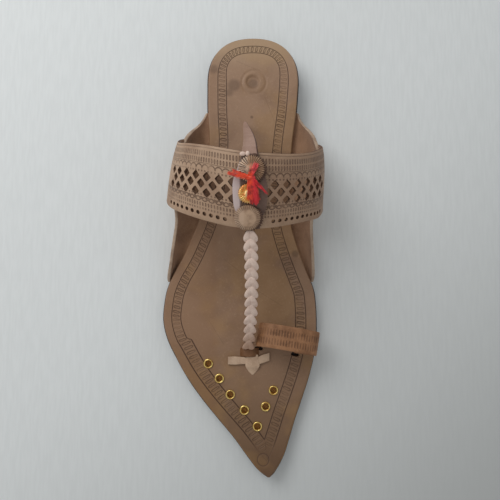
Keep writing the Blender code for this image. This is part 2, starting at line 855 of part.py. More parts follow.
def radial_solid(name, rings, corners, place, mat, collection):
    """A solid of rings about its axis: each ring gives its radius for even and odd corners."""
    sections = []
    for even, odd, z in rings:
        ring = []
        for i in range(corners):
            turn = 2 * math.pi * i / corners
            radius = odd if i % 2 else even
            ring.append(place @ Vector((radius * math.cos(turn), radius * math.sin(turn), z)))
        sections.append(ring)
    return loft(name, sections, mat, collection, smooth=False)


def make_rosette(name, upper, front_distance, across, mat, collection):
    """A leather rosette: serrated rim, raised ring and boss."""
    radius = ROSETTE_DIAMETER / 2
    rings = (
        (radius * 0.96, radius * 0.90, 0.0),
        (radius, radius * 0.93, ROSETTE_HEIGHT * 0.3),
        (radius * 0.95, radius * 0.89, ROSETTE_HEIGHT * 0.55),
        (radius * 0.62, radius * 0.62, ROSETTE_HEIGHT * 0.72),
        (radius * 0.34, radius * 0.34, ROSETTE_HEIGHT * 0.70),
        (radius * 0.16, radius * 0.16, ROSETTE_HEIGHT),
    )
    place = crest_frame(upper, front_distance, across, 2 * GAP + STRAP_THICK)
    return radial_solid(name, rings, 2 * ROSETTE_TEETH, place, mat, collection)


def make_gold_disc(upper, mat, collection):
    """The fluted gilt disc between the rosettes."""
    radius = GOLD_DIAMETER / 2
    rings = (
        (radius * 0.97, radius * 0.93, 0.0),
        (radius, radius * 0.95, GOLD_HEIGHT * 0.4),
        (radius * 0.86, radius * 0.84, GOLD_HEIGHT * 0.9),
        (radius * 0.50, radius * 0.52, GOLD_HEIGHT * 0.75),
        (radius * 0.22, radius * 0.22, GOLD_HEIGHT),
    )
    place = crest_frame(upper, GOLD_AT, GOLD_ACROSS, 2 * GAP + STRAP_THICK)
    return radial_solid("gold_disc", rings, 2 * GOLD_FLUTES, place, mat, collection)


def lock_rings(start, end, thick, turns=6, count=7):
    """Rings of one tapered lock from the knot to its tip."""
    rings = []
    way = (end - start).normalized()
    side = way.cross(Vector((0, 0, 1))).normalized()
    up = side.cross(way)
    for share in np.linspace(0, 1, count):
        centre = start.lerp(end, share) + Vector((0, 0, 0.0009 * math.sin(math.pi * share)))
        radius = thick / 2 * (1.0 - 0.6 * share)
        rings.append([
            centre + side * radius * math.cos(a) + up * radius * 0.8 * math.sin(a)
            for a in np.linspace(0, 2 * math.pi, turns + 1)[:-1]
        ])
    return rings


def make_tassel(upper, mat, collection, cutters):
    """The red thread tassel: a knot with its locks joined on."""
    clear = 3 * GAP + STRAP_THICK + TASSEL_SEAT * ROSETTE_HEIGHT
    centre = crest(upper, TASSEL_AT, 0.0, clear + KNOT_DIAMETER * 0.3)
    mesh = bpy.data.meshes.new("tassel")
    bm = bmesh.new()
    bmesh.ops.create_uvsphere(bm, u_segments=10, v_segments=6, radius=KNOT_DIAMETER / 2)
    bmesh.ops.scale(bm, vec=(1.25, 0.9, 0.75), verts=bm.verts)
    bmesh.ops.translate(bm, vec=centre, verts=bm.verts)
    bm.to_mesh(mesh)
    bm.free()
    knot = link(mesh, "tassel", mat, collection)
    for i, (across, front, share) in enumerate(TASSEL_LOCKS):
        end = crest(upper, front, across, clear + LOCK_THICK * 0.3)
        rings = lock_rings(centre, end, LOCK_THICK * share)
        boolean(knot, loft(f"tassel_lock_{i + 1}", rings, mat, cutters), "UNION")
    return knot


def eyelet_mesh():
    """An eyelet: a rolled flange and a barrel, turned about its axis."""
    flange = EYELET_FLANGE / 2
    bore = EYELET_BORE / 2
    barrel = EYELET_BARREL / 2
    profile = (
        (bore, -INSOLE_THICK * 0.8), (barrel, -INSOLE_THICK * 0.8), (barrel, GAP),
        (flange, GAP), (flange * 0.85, GAP + EYELET_RISE), (bore, GAP + EYELET_RISE * 0.7),
    )
    bm = bmesh.new()
    steps = EYELET_SIDES
    rings = []
    for i in range(steps):
        turn = 2 * math.pi * i / steps
        rings.append([bm.verts.new((r * math.cos(turn), r * math.sin(turn), z)) for r, z in profile])
    for i, ring in enumerate(rings):
        following = rings[(i + 1) % steps]
        for j in range(len(profile)):
            k = (j + 1) % len(profile)
            bm.faces.new((ring[j], following[j], following[k], ring[k]))
    bmesh.ops.recalc_face_normals(bm, faces=bm.faces)
    mesh = bpy.data.meshes.new("eyelet")
    bm.to_mesh(mesh)
    bm.free()
    return mesh


def eyelet_places():
    """Centre of each eyelet on the insole's upper face."""
    places = []
    for across, along in EYELETS:
        y = station_y(along)
        places.append((across * BALL_WIDTH, y, insole_top_at(y)))
    return places


def make_eyelets(mat, collection):
    """Seven eyelets that share one mesh."""
    mesh = eyelet_mesh()
    mesh.materials.append(mat)
    for i, place in enumerate(eyelet_places()):
        obj = bpy.data.objects.new(f"eyelet_{i + 1}", mesh)
        obj.location = place
        collection.objects.link(obj)


def box_cutter(name, size, place, cutters):
    """A box that cuts a slit, centred on its place."""
    mesh = bpy.data.meshes.new(name)
    bm = bmesh.new()
    bmesh.ops.create_cube(bm, size=1.0)
    bmesh.ops.scale(bm, vec=size, verts=bm.verts)
    bm.to_mesh(mesh)
    bm.free()
    obj = bpy.data.objects.new(name, mesh)
    obj.matrix_world = place
    cutters.objects.link(obj)
    return obj


def cut_insole(insole, cutters):
    """Slits for the toe loop and the thong, and the eyelets' holes."""
    deep = 6 * INSOLE_THICK
    for side in (-1, 1):
        place = loop_place() @ Matrix.Translation((side * LOOP_SPAN / 2, 0, 0))
        size = (LOOP_THICK + 2 * SLIT_PLAY, LOOP_WIDTH + 4 * SLIT_PLAY, deep)
        boolean(insole, box_cutter("loop_slit", size, place, cutters), "DIFFERENCE")
    place = Matrix.Translation(braid_foot())
    size = (THONG_WIDTH + 2 * SLIT_PLAY, THONG_THICK + 2 * SLIT_PLAY, deep)
    boolean(insole, box_cutter("thong_slit", size, place, cutters), "DIFFERENCE")
    for place in eyelet_places():
        mesh = bpy.data.meshes.new("eyelet_hole")
        bm = bmesh.new()
        radius = EYELET_BARREL / 2 + EYELET_PLAY / 2
        bmesh.ops.create_cone(bm, cap_ends=True, segments=EYELET_SIDES, radius1=radius, radius2=radius, depth=deep)
        bm.to_mesh(mesh)
        bm.free()
        hole = bpy.data.objects.new("eyelet_hole", mesh)
        hole.location = place
        cutters.objects.link(hole)
        boolean(insole, hole, "DIFFERENCE")


def new_collection(name):
    collection = bpy.data.collections.new(name)
    bpy.context.scene.collection.children.link(collection)
    return collection


def main():
    for obj in list(bpy.data.objects):
        bpy.data.objects.remove(obj)
    parts = new_collection("kolhapuri_sandal")
    cutters = new_collection("cutters")
    edge = material("outsole_leather", (0.035, 0.022, 0.016), 0.6)
    tan = material("insole_leather", (0.27, 0.18, 0.11), 0.55)
    band = material("band_leather", (0.30, 0.21, 0.145), 0.5)
    pale = material("pale_leather", (0.52, 0.40, 0.34), 0.55)
    orange = material("loop_leather", (0.24, 0.135, 0.07), 0.5)
    brass = material("brass", (0.62, 0.46, 0.20), 0.35, 1.0)
    red = material("red_thread", (0.42, 0.02, 0.03), 0.8)
    upper = Upper()
    make_outsole(edge, parts)
    make_heel(edge, parts)
    insole = make_insole(tan, parts)
    cut_insole(insole, cutters)
    make_upper(upper, band, parts, cutters)
    make_centre_strap(upper, pale, parts)
    make_toe_loop(orange, parts)
    make_toggle(pale, parts)
    make_kite(pale, parts)
    make_rosette("rosette_front", upper, ROSETTE_FRONT_AT, ROSETTE_FRONT_ACROSS, orange, parts)
    make_rosette("rosette_rear", upper, ROSETTE_REAR_AT, ROSETTE_REAR_ACROSS, orange, parts)
    make_gold_disc(upper, brass, parts)
    make_tassel(upper, red, parts, cutters)
    make_eyelets(brass, parts)
    bpy.context.view_layer.update()


main()
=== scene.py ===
# %% [markdown]
# # A Kolhapuri sandal for the right foot
# A flat leather slipper from western India: a pointed sole of two hides, two side ears sewn
# into it, a punched band over the instep, a plaited strap down to the toes and a loop for
# the big toe. The lesson dresses the measured solids of the sandal, which arrive as a frame,
# with finer surfaces and with leather, brass and thread. Every length is in metres.

# %% Load the frame
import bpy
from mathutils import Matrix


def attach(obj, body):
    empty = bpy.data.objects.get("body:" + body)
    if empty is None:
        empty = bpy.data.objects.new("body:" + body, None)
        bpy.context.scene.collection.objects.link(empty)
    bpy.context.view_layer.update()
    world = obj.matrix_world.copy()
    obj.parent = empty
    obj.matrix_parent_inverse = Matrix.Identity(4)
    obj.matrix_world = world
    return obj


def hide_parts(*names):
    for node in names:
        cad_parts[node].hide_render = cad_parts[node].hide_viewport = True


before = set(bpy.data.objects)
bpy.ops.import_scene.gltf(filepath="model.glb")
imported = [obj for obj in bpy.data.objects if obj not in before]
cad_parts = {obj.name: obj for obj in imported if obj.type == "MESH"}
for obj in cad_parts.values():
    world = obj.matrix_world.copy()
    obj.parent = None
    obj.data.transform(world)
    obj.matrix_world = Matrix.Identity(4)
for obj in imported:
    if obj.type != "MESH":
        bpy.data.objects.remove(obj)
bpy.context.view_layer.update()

# %% Modules
import math

import bpy
import numpy as np

TURN = 2 * math.pi

# %% [markdown]
# ## Camera
# The sandal was photographed from above, standing on the floor, with the camera leaning five
# degrees towards the toe. The distance and the lens are settled from the sole's two ends:
# a short distance makes the instep, which is nearer, look wider than the sole below it.

# %% Camera
AIM = (-0.0022, -0.1116, 0.0120)
CAMERA_DISTANCE = 0.350
CAMERA_LEAN = math.radians(5.0)
camera_data = bpy.data.cameras.new("camera")
camera_data.sensor_width = 36.0
camera_data.lens = 36.73
camera = bpy.data.objects.new("camera", camera_data)
camera.location = (
    AIM[0],
    AIM[1] - CAMERA_DISTANCE * math.sin(CAMERA_LEAN),
    AIM[2] + CAMERA_DISTANCE * math.cos(CAMERA_LEAN),
)
camera.rotation_euler = (CAMERA_LEAN, 0.0, 0.0)
bpy.context.scene.collection.objects.link(camera)
bpy.context.scene.camera = camera
print("camera at", [round(v, 4) for v in camera.location])

# %% [markdown]
# ## Curves worked out with arrays
# A sole or a strap is easiest to describe by a few measured rows and a smooth curve through
# them. These helpers take whole arrays, so a surface with fifty thousand points costs
# one call.


# %% Curve helpers
def through(marks, values, at):
    """Cubic curve through the points (marks, values), with the slope at each point taken
    from its neighbours, read at every value of the array at."""
    marks = np.asarray(marks, float)
    values = np.asarray(values, float)
    slope = np.gradient(values, marks)
    at = np.clip(np.asarray(at, float), marks[0], marks[-1])
    i = np.clip(np.searchsorted(marks, at) - 1, 0, len(marks) - 2)
    step = marks[i + 1] - marks[i]
    t = (at - marks[i]) / step
    rise = values[i + 1] * (3 * t**2 - 2 * t**3) + values[i] * (1 - 3 * t**2 + 2 * t**3)
    return rise + step * (slope[i] * (t**3 - 2 * t**2 + t) + slope[i + 1] * (t**3 - t**2))


def ease(t):
    """Smooth step: 0 up to t = 0, 1 from t = 1, and 3t^2 - 2t^3 between."""
    t = np.clip(t, 0.0, 1.0)
    return t * t * (3 - 2 * t)


def bezier(knots, t):
    """Cubic curve of four control points (4, d): each point weighs as its Bernstein term."""
    t = np.asarray(t, float)[:, None]
    weights = np.hstack([(1 - t)**3, 3 * t * (1 - t)**2, 3 * t**2 * (1 - t), t**3])
    return weights @ np.asarray(knots, float)


def unit(vectors):
    """Each vector divided by its own length."""
    return vectors / np.linalg.norm(vectors, axis=-1, keepdims=True)


def length_along(path):
    """Distance along a path (n, d) at each of its points: the sum of the steps before it."""
    return np.concatenate([[0.0], np.cumsum(np.linalg.norm(np.diff(path, axis=0), axis=1))])


# %% [markdown]
# ## The sole's outline
# A Kolhapuri sole is cut by hand round a template: a round heel, a waist, a wide ball and a
# point that leans to the big toe. The table holds half widths by station, a share of the
# length counted from the back of the heel. The back of the heel itself is a superellipse,
# the curve between a circle and a square.

# %% Outline of the sole
SOLE_LENGTH = 0.300
HEEL_CENTRE = 0.037
HEEL_WIDTH = 0.0642
WAIST_WIDTH = 0.0590
BALL_WIDTH = 0.1062
HEEL_CAP = 0.11
HEEL_POWER = 2.5
ROUND_TIP = 1e-5
OUTLINE = np.array((
    (0.110, HEEL_WIDTH, 0.500, 0.500),
    (0.172, HEEL_WIDTH, 0.498, 0.478),
    (0.250, HEEL_WIDTH, 0.484, 0.433),
    (0.340, WAIST_WIDTH, 0.559, 0.441),
    (0.426, WAIST_WIDTH, 0.651, 0.445),
    (0.471, BALL_WIDTH, 0.412, 0.280),
    (0.506, BALL_WIDTH, 0.456, 0.314),
    (0.552, BALL_WIDTH, 0.526, 0.363),
    (0.586, BALL_WIDTH, 0.564, 0.398),
    (0.620, BALL_WIDTH, 0.581, 0.410),
    (0.655, BALL_WIDTH, 0.586, 0.414),
    (0.700, BALL_WIDTH, 0.556, 0.410),
    (0.744, BALL_WIDTH, 0.494, 0.389),
    (0.789, BALL_WIDTH, 0.420, 0.355),
    (0.833, BALL_WIDTH, 0.330, 0.313),
    (0.876, BALL_WIDTH, 0.229, 0.270),
    (0.920, BALL_WIDTH, 0.121, 0.230),
    (0.963, BALL_WIDTH, 0.027, 0.184),
    (0.984, BALL_WIDTH, -0.024, 0.148),
    (0.995, BALL_WIDTH, -0.062, 0.124),
    (1.000, BALL_WIDTH, -0.085, 0.106),
))


def station_y(station):
    """World y of a station."""
    return HEEL_CENTRE - station * SOLE_LENGTH


def station_at(y):
    """Station of a world y."""
    return (HEEL_CENTRE - y) / SOLE_LENGTH


def outline(station):
    """World x of the lateral and the medial edge: the table's curve, and at the heel's back
    half a width of (1 - (1 - t)^p)^(1/p), where t is the share of the heel cap."""
    station = np.asarray(station, float)
    t = np.clip(station, ROUND_TIP, HEEL_CAP) / HEEL_CAP
    cap = HEEL_WIDTH / 2 * (1 - (1 - t)**HEEL_POWER)**(1 / HEEL_POWER)
    lateral = through(OUTLINE[:, 0], OUTLINE[:, 1] * OUTLINE[:, 2], station)
    medial = through(OUTLINE[:, 0], OUTLINE[:, 1] * OUTLINE[:, 3], station)
    round_back = station < HEEL_CAP
    return -np.where(round_back, cap, lateral), np.where(round_back, cap, medial)


print("ball width", round(float(np.subtract(*outline(0.655)[::-1])) * 1000, 1), "mm")

# %% [markdown]
# ## Heights of the layers
# From the floor up: the heel's lifts, the outsole, the insole. Air of 0.3 mm stays between
# the layers, as between two hides that are sewn and not melted into one.

# %% Heights
OUTSOLE_THICK = 0.0055
INSOLE_THICK = 0.0035
HEEL_HEIGHT = 0.0090
TOE_SPRING = 0.0040
INSOLE_INSET = 0.0010
GAP = 0.0003
HEEL_BREAST = 0.262
ARCH_FRONT = 0.562
TOE_BEND = 0.870


def base_height(station):
    """Underside of the outsole: a smooth ramp up to the heel, a parabola up at the toe."""
    heel = (HEEL_HEIGHT + GAP) * ease((ARCH_FRONT - station) / (ARCH_FRONT - HEEL_BREAST))
    toe = TOE_SPRING * np.clip((station - TOE_BEND) / (1 - TOE_BEND), 0, None)**2
    return heel + toe


def outsole_top(station):
    return base_height(station) + OUTSOLE_THICK


def insole_top(station):
    return outsole_top(station) + GAP + INSOLE_THICK


print("insole at the heel", round(float(insole_top(0.1)) * 1000, 2), "mm above the floor")

# %% [markdown]
# ## Meshes from arrays
# A shape here is a stack of rings. The helper joins each ring to the next with quads, closes
# both ends with a fan, and turns the faces outwards by the sign of the volume. A Boolean or
# a bend can then work on the plain mesh before it becomes a piece.


# %% Mesh helpers
def skin(name, rings, wrap=False):
    """Closed mesh of rings (n, k, 3): quads between neighbours and a fan at each end, or,
    with wrap, quads from the last ring to the first. The enclosed volume, a sixth of the sum
    of a.(b x c) over the triangles, says whether the faces have to be flipped."""
    n, k, _ = rings.shape
    points = rings.reshape(-1, 3)
    spans = n if wrap else n - 1
    ring = np.arange(spans)[:, None] * k
    after = (np.arange(spans)[:, None] + 1) % n * k
    j = np.arange(k)[None]
    step = (j + 1) % k
    quads = np.stack([ring + j, ring + step, after + step, after + j], -1).reshape(-1, 4)
    faces = quads.tolist()
    if not wrap:
        points = np.vstack([points, rings[0].mean(0), rings[-1].mean(0)])
        first = np.stack([np.full(k, n * k), step[0], j[0]], -1)
        last = np.stack([np.full(k, n * k + 1), (n - 1) * k + j[0], (n - 1) * k + step[0]], -1)
        faces += first.tolist() + last.tolist()
    corners = points[quads]
    volume = np.einsum("ij,ij->", corners[:, 0], np.cross(corners[:, 1], corners[:, 2]))
    volume += np.einsum("ij,ij->", corners[:, 0], np.cross(corners[:, 2], corners[:, 3]))
    if not wrap:
        fans = points[np.vstack([first, last])]
        volume += np.einsum("ij,ij->", fans[:, 0], np.cross(fans[:, 1], fans[:, 2]))
    if volume < 0:
        faces = [face[::-1] for face in faces]
    mesh = bpy.data.meshes.new(name)
    mesh.from_pydata(points, [], faces)
    return mesh


def corners_of(mesh):
    """The mesh's points as an array (n, 3)."""
    points = np.empty(len(mesh.vertices) * 3)
    mesh.vertices.foreach_get("co", points)
    return points.reshape(-1, 3)


def write_uv(mesh, name, per_vertex):
    """A UV map from one pair of numbers per vertex."""
    index = np.empty(len(mesh.loops), dtype=np.int32)
    mesh.loops.foreach_get("vertex_index", index)
    layer = mesh.uv_layers.new(name=name)
    layer.data.foreach_set("uv", per_vertex[index].astype(np.float32).ravel())


def piece(mesh, name, finishes, nodes=(), angle=38.0):
    """A finished piece: smooth but for edges sharper than the angle, riding on the body."""
    obj = bpy.data.objects.new(name, mesh)
    bpy.context.scene.collection.objects.link(obj)
    for finish in finishes:
        mesh.materials.append(finish)
    mesh.shade_smooth()
    mesh.set_sharp_from_angle(angle=math.radians(angle))
    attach(obj, "root")
    if nodes:
        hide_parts(*nodes)
    print(name, len(mesh.vertices), "points")
    return obj


def cut(mesh, cutter):
    """The mesh with the cutter's volume taken out of it."""
    body = bpy.data.objects.new("cut_body", mesh)
    tool = bpy.data.objects.new("cut_tool", cutter)
    for obj in (body, tool):
        bpy.context.scene.collection.objects.link(obj)
    mod = body.modifiers.new("cut", "BOOLEAN")
    mod.object = tool
    mod.operation = "DIFFERENCE"
    mod.solver = "MANIFOLD"
    graph = bpy.context.evaluated_depsgraph_get()
    made = bpy.data.meshes.new_from_object(body.evaluated_get(graph))
    for obj in (body, tool):
        bpy.data.objects.remove(obj)
    made.materials.clear()
    made.polygons.foreach_set("material_index", np.zeros(len(made.polygons), dtype=np.int32))
    return made


def prisms(outlines, low, high):
    """Upright prisms over the outlines (m, q, 2), as one mesh: a floor, a lid and q walls each."""
    m, q, _ = outlines.shape
    floor = np.concatenate([outlines, np.full((m, q, 1), low)], -1)
    lid = np.concatenate([outlines, np.full((m, q, 1), high)], -1)
    points = np.concatenate([floor, lid], 1).reshape(-1, 3)
    start = np.arange(m)[:, None] * 2 * q
    j = np.arange(q)[None]
    step = (j + 1) % q
    walls = np.stack([start + j, start + step, start + step + q, start + j + q], -1)
    lids = (start + q + j).tolist()
    floors = (start + j[:, ::-1]).tolist()
    mesh = bpy.data.meshes.new("cutters")
    mesh.from_pydata(points, [], walls.reshape(-1, 4).tolist() + lids + floors)
    return mesh


def many_tubes(name, tubes):
    """Tubes (m, n, k, 3) as one mesh: quads round each, and a fan closes both ends."""
    m, n, k, _ = tubes.shape
    tips = np.stack([tubes[:, 0].mean(1), tubes[:, -1].mean(1)], 1)
    points = np.concatenate([tubes.reshape(m, n * k, 3), tips], 1).reshape(-1, 3)
    start = np.arange(m)[:, None, None] * (n * k + 2)
    ring = np.arange(n - 1)[None, :, None] * k
    j = np.arange(k)[None, None]
    step = (j + 1) % k
    near = start + ring
    quads = np.stack([near + j, near + k + j, near + k + step, near + step], -1)
    first = start[:, 0] + n * k
    first_ring = start[:, 0]
    last_ring = first_ring + (n - 1) * k
    first_fan = np.stack([np.broadcast_to(first, (m, k)), first_ring + j[0], first_ring + step[0]], -1)
    last_fan = np.stack([np.broadcast_to(first + 1, (m, k)), last_ring + step[0], last_ring + j[0]], -1)
    fans = np.concatenate([first_fan, last_fan])
    faces = quads.reshape(-1, 4).tolist() + fans.reshape(-1, 3).tolist()
    mesh = bpy.data.meshes.new(name)
    mesh.from_pydata(points, [], faces)
    return mesh


# %% [markdown]
# ## Writing shader nodes briefly
# A material here is a short formula over the surface. The helper below adds one node per
# call and hands back its output, so a formula reads from top to bottom like the numpy above.


# %% Node helper
class Tree:
    """Adds nodes to a shader tree; every call gives the new node's output."""

    def __init__(self, tree):
        self.tree = tree

    def feed(self, socket, value):
        """Link an output to the socket, or set the socket's own value."""
        if isinstance(value, bpy.types.NodeSocket):
            self.tree.links.new(value, socket)
        else:
            socket.default_value = value

    def add(self, kind, inputs, output=0, **options):
        node = self.tree.nodes.new(kind)
        for option, value in options.items():
            setattr(node, option, value)
        for socket, value in inputs.items():
            self.feed(node.inputs[socket], value)
        return node.outputs[output]

    def math(self, operation, a, b=0.0, c=0.0):
        return self.add("ShaderNodeMath", {0: a, 1: b, 2: c}, operation=operation)

    def vector(self, operation, a, b=(0.0, 0.0, 0.0), output=0):
        return self.add("ShaderNodeVectorMath", {0: a, 1: b}, output, operation=operation)

    def step(self, value, low, high, to_low=0.0, to_high=1.0):
        """Soft step of a value from low to high."""
        sockets = {0: value, 1: low, 2: high, 3: to_low, 4: to_high}
        return self.add("ShaderNodeMapRange", sockets, interpolation_type="SMOOTHSTEP")

    def mix(self, share, a, b):
        return self.add("ShaderNodeMix", {0: share, 6: a, 7: b}, 2, data_type="RGBA")

    def noise(self, place, scale, detail=2.0, rough=0.5, warp=0.0):
        sockets = {"Vector": place, "Scale": scale, "Detail": detail, "Roughness": rough}
        return self.add("ShaderNodeTexNoise", {**sockets, "Distortion": warp})

    def most(self, *masks):
        """The largest of several masks."""
        result = masks[0]
        for mask in masks[1:]:
            result = self.math("MAXIMUM", result, mask)
        return result

    def split(self, vector):
        """The x, y and z of a vector."""
        node = self.tree.nodes.new("ShaderNodeSeparateXYZ")
        self.feed(node.inputs[0], vector)
        return node.outputs

    def group(self, group, inputs):
        """A node group with its named inputs; gives all its outputs."""
        node = self.tree.nodes.new("ShaderNodeGroup")
        node.node_tree = group
        for socket, value in inputs.items():
            self.feed(node.inputs[socket], value)
        return node.outputs


KINDS = {"value": "NodeSocketFloat", "vector": "NodeSocketVector", "colour": "NodeSocketColor"}


def new_group(name, inputs, outputs):
    """An empty node group with named sockets; gives its tree, its inputs and its outlet."""
    group = bpy.data.node_groups.new(name, "ShaderNodeTree")
    for socket, kind in inputs:
        group.interface.new_socket(socket, in_out="INPUT", socket_type=KINDS[kind])
    for socket, kind in outputs:
        group.interface.new_socket(socket, in_out="OUTPUT", socket_type=KINDS[kind])
    entry = group.nodes.new("NodeGroupInput")
    outlet = group.nodes.new("NodeGroupOutput")
    return Tree(group), entry.outputs, outlet.inputs


def new_finish(name, roughness, **constants):
    """A material with its Principled shader; constants are set on the shader's own sockets."""
    mat = bpy.data.materials.new(name)
    mat.use_nodes = True
    tree = Tree(mat.node_tree)
    shader = mat.node_tree.nodes["Principled BSDF"].inputs
    shader["Roughness"].default_value = roughness
    for socket, value in constants.items():
        shader[socket.replace("_", " ")].default_value = value
    return mat, tree, shader


LIGHT_SHARE = 0.70
GLOSS_SHARE = 0.016


def tone(red, green, blue):
    """A colour as seen on the object, in screen values of 0 to 255, as the linear colour of
    the surface: the light lets about seven tenths of a white through to the picture, and the
    gloss adds a little white of its own, which is taken off first."""
    share = np.array((red, green, blue)) / 255
    linear = np.where(share < 0.04045, share / 12.92, ((share + 0.055) / 1.055)**2.4)
    matt = np.maximum(linear - GLOSS_SHARE, 0.3 * linear)
    return (*(matt / LIGHT_SHARE).clip(0.0, 0.95), 1.0)


# %% [markdown]
# ## Leather as a node group
# Vegetable-tanned hide is never one colour: it has broad clouds from the tan, a fine grain
# and darker pores, and it shines more where it has been rubbed. One group gives all three
# from a place on the hide, and each leather uses it with its own colours.

# %% Group: hide
hide_sockets = (
    ("Place", "vector"), ("Base", "colour"), ("Dark", "colour"), ("Pale", "colour"),
    ("Clouds", "value"), ("Grain", "value"), ("Roughness", "value"),
)
tree, inlet, outlet = new_group(
    "hide", hide_sockets, (("Colour", "colour"), ("Height", "value"), ("Roughness", "value")))
clouds = tree.noise(inlet["Place"], inlet["Clouds"], 4.0, 0.55, 0.4)
grain = tree.noise(inlet["Place"], inlet["Grain"], 5.0, 0.62)
pore_scale = tree.math("MULTIPLY", inlet["Grain"], 3.5)
pores = tree.noise(inlet["Place"], pore_scale, 2.0, 0.5)
darker = tree.step(clouds, 0.38, 0.70, 0.0, 0.85)
colour = tree.mix(darker, inlet["Base"], inlet["Dark"])
paler = tree.step(grain, 0.52, 0.74, 0.0, 0.5)
colour = tree.mix(paler, colour, inlet["Pale"])
pitted = tree.step(pores, 0.62, 0.78, 0.0, 0.45)
colour = tree.mix(pitted, colour, inlet["Dark"])
height = tree.math("MULTIPLY_ADD", pores, -0.35, tree.math("MULTIPLY", grain, 0.65))
rubbed = tree.math("MULTIPLY_ADD", clouds, 0.22, tree.math("SUBTRACT", inlet["Roughness"], 0.11))
tree.feed(outlet["Colour"], colour)
tree.feed(outlet["Height"], height)
tree.feed(outlet["Roughness"], rubbed)
hide = tree.tree

# %% [markdown]
# ## Stamps as node groups
# The maker strikes the hide with small iron stamps: a row of short dashes, a row of scallops.
# A stamp in a row is the same everywhere, so its mask is a function of the place inside one
# repeat: the distance along the row, wrapped at the pitch, and the distance from the row.

# %% Group: row of dashes
row_sockets = (
    ("Along", "value"), ("Across", "value"), ("Centre", "value"), ("Length", "value"),
    ("Pitch", "value"), ("Width", "value"), ("Slant", "value"),
)
tree, inlet, outlet = new_group("dash_row", row_sockets, (("Mask", "value"),))
off = tree.math("SUBTRACT", inlet["Across"], inlet["Centre"])
shifted = tree.math("MULTIPLY_ADD", off, inlet["Slant"], inlet["Along"])
wrapped = tree.math("PINGPONG", shifted, tree.math("MULTIPLY", inlet["Pitch"], 0.5))
half_width = tree.math("MULTIPLY", inlet["Width"], 0.5)
half_length = tree.math("MULTIPLY", inlet["Length"], 0.5)
long_share = tree.math("DIVIDE", tree.math("ABSOLUTE", off), half_length)
wide_share = tree.math("DIVIDE", wrapped, half_width)
reach = tree.math("ADD", tree.math("POWER", long_share, 4.0), tree.math("POWER", wide_share, 2.0))
tree.feed(outlet["Mask"], tree.step(reach, 0.55, 1.35, 1.0, 0.0))
dash_row = tree.tree

# %% Group: row of scallops
arc_sockets = (
    ("Along", "value"), ("Across", "value"), ("Centre", "value"), ("Radius", "value"),
    ("Width", "value"), ("Side", "value"),
)
tree, inlet, outlet = new_group("scallop_row", arc_sockets, (("Mask", "value"),))
off = tree.math("MULTIPLY", tree.math("SUBTRACT", inlet["Across"], inlet["Centre"]), inlet["Side"])
wrapped = tree.math("PINGPONG", inlet["Along"], inlet["Radius"])
squares = tree.math("ADD", tree.math("MULTIPLY", off, off), tree.math("MULTIPLY", wrapped, wrapped))
ring = tree.math("ABSOLUTE", tree.math("SUBTRACT", tree.math("SQRT", squares), inlet["Radius"]))
line = tree.step(tree.math("DIVIDE", ring, inlet["Width"]), 0.3, 0.9, 1.0, 0.0)
upper_half = tree.step(off, -0.05, 0.1)
tree.feed(outlet["Mask"], tree.math("MULTIPLY", line, upper_half))
scallop_row = tree.tree

# %% Group: spot and scratch
tree, inlet, outlet = new_group(
    "spot", (("Place", "vector"), ("Centre", "vector"), ("Radius", "value"), ("Soft", "value")),
    (("Mask", "value"),))
flat = tree.vector("MULTIPLY", inlet["Place"], (1.0, 1.0, 0.0))
away = tree.vector("DISTANCE", flat, inlet["Centre"], 1)
outside = tree.math("DIVIDE", tree.math("SUBTRACT", away, inlet["Radius"]), inlet["Soft"])
tree.feed(outlet["Mask"], tree.step(outside, -0.5, 0.5, 1.0, 0.0))
spot = tree.tree

tree, inlet, outlet = new_group(
    "scratch", (("Place", "vector"), ("From", "vector"), ("To", "vector"), ("Width", "value")),
    (("Mask", "value"),))
flat = tree.vector("MULTIPLY", inlet["Place"], (1.0, 1.0, 0.0))
way = tree.vector("SUBTRACT", inlet["To"], inlet["From"])
offset = tree.vector("SUBTRACT", flat, inlet["From"])
share = tree.math("DIVIDE", tree.vector("DOT_PRODUCT", offset, way, 1),
                  tree.vector("DOT_PRODUCT", way, way, 1))
held = tree.math("MINIMUM", tree.math("MAXIMUM", share, 0.0), 1.0)
scale_node = tree.tree.nodes.new("ShaderNodeVectorMath")
scale_node.operation = "SCALE"
tree.feed(scale_node.inputs[0], way)
tree.feed(scale_node.inputs["Scale"], held)
away = tree.vector("DISTANCE", offset, scale_node.outputs[0], 1)
tree.feed(outlet["Mask"], tree.step(tree.math("DIVIDE", away, inlet["Width"]), 0.4, 1.0, 1.0, 0.0))
scratch = tree.tree
print("node groups", len(bpy.data.node_groups))

# %% [markdown]
# ## A leather, begun and ended
# Every leather of the sandal starts with the hide group and ends with a bump, and only what
# is struck, drawn or worn in between differs. So the start and the end are two functions, and
# the shader stays in each material, where its own constants are set.


# %% Leather helpers
def leather(name, base, dark, pale, clouds, grain, roughness, uv_map=None, **constants):
    """The start of a leather: its material, tree and shader, the place on the hide, the
    place in the piece's UV map where it has one, and what the hide group gives."""
    mat, tree, shader = new_finish(name, roughness, **constants)
    place = tree.add("ShaderNodeTexCoord", {}, "Object")
    flat = tree.split(tree.add("ShaderNodeUVMap", {}, uv_map=uv_map)) if uv_map else None
    out = tree.group(hide, {
        "Place": place, "Base": tone(*base), "Dark": tone(*dark), "Pale": tone(*pale),
        "Clouds": clouds, "Grain": grain, "Roughness": roughness})
    return mat, tree, shader, place, flat, out


def dress(tree, shader, colour, out, height, strength, depth):
    """The end of a leather: its colour, the hide's roughness, and a height read as bump."""
    tree.feed(shader["Base Color"], colour)
    tree.feed(shader["Roughness"], out["Roughness"])
    bump = tree.add("ShaderNodeBump", {"Height": height, "Strength": strength, "Distance": depth})
    tree.feed(shader["Normal"], bump)


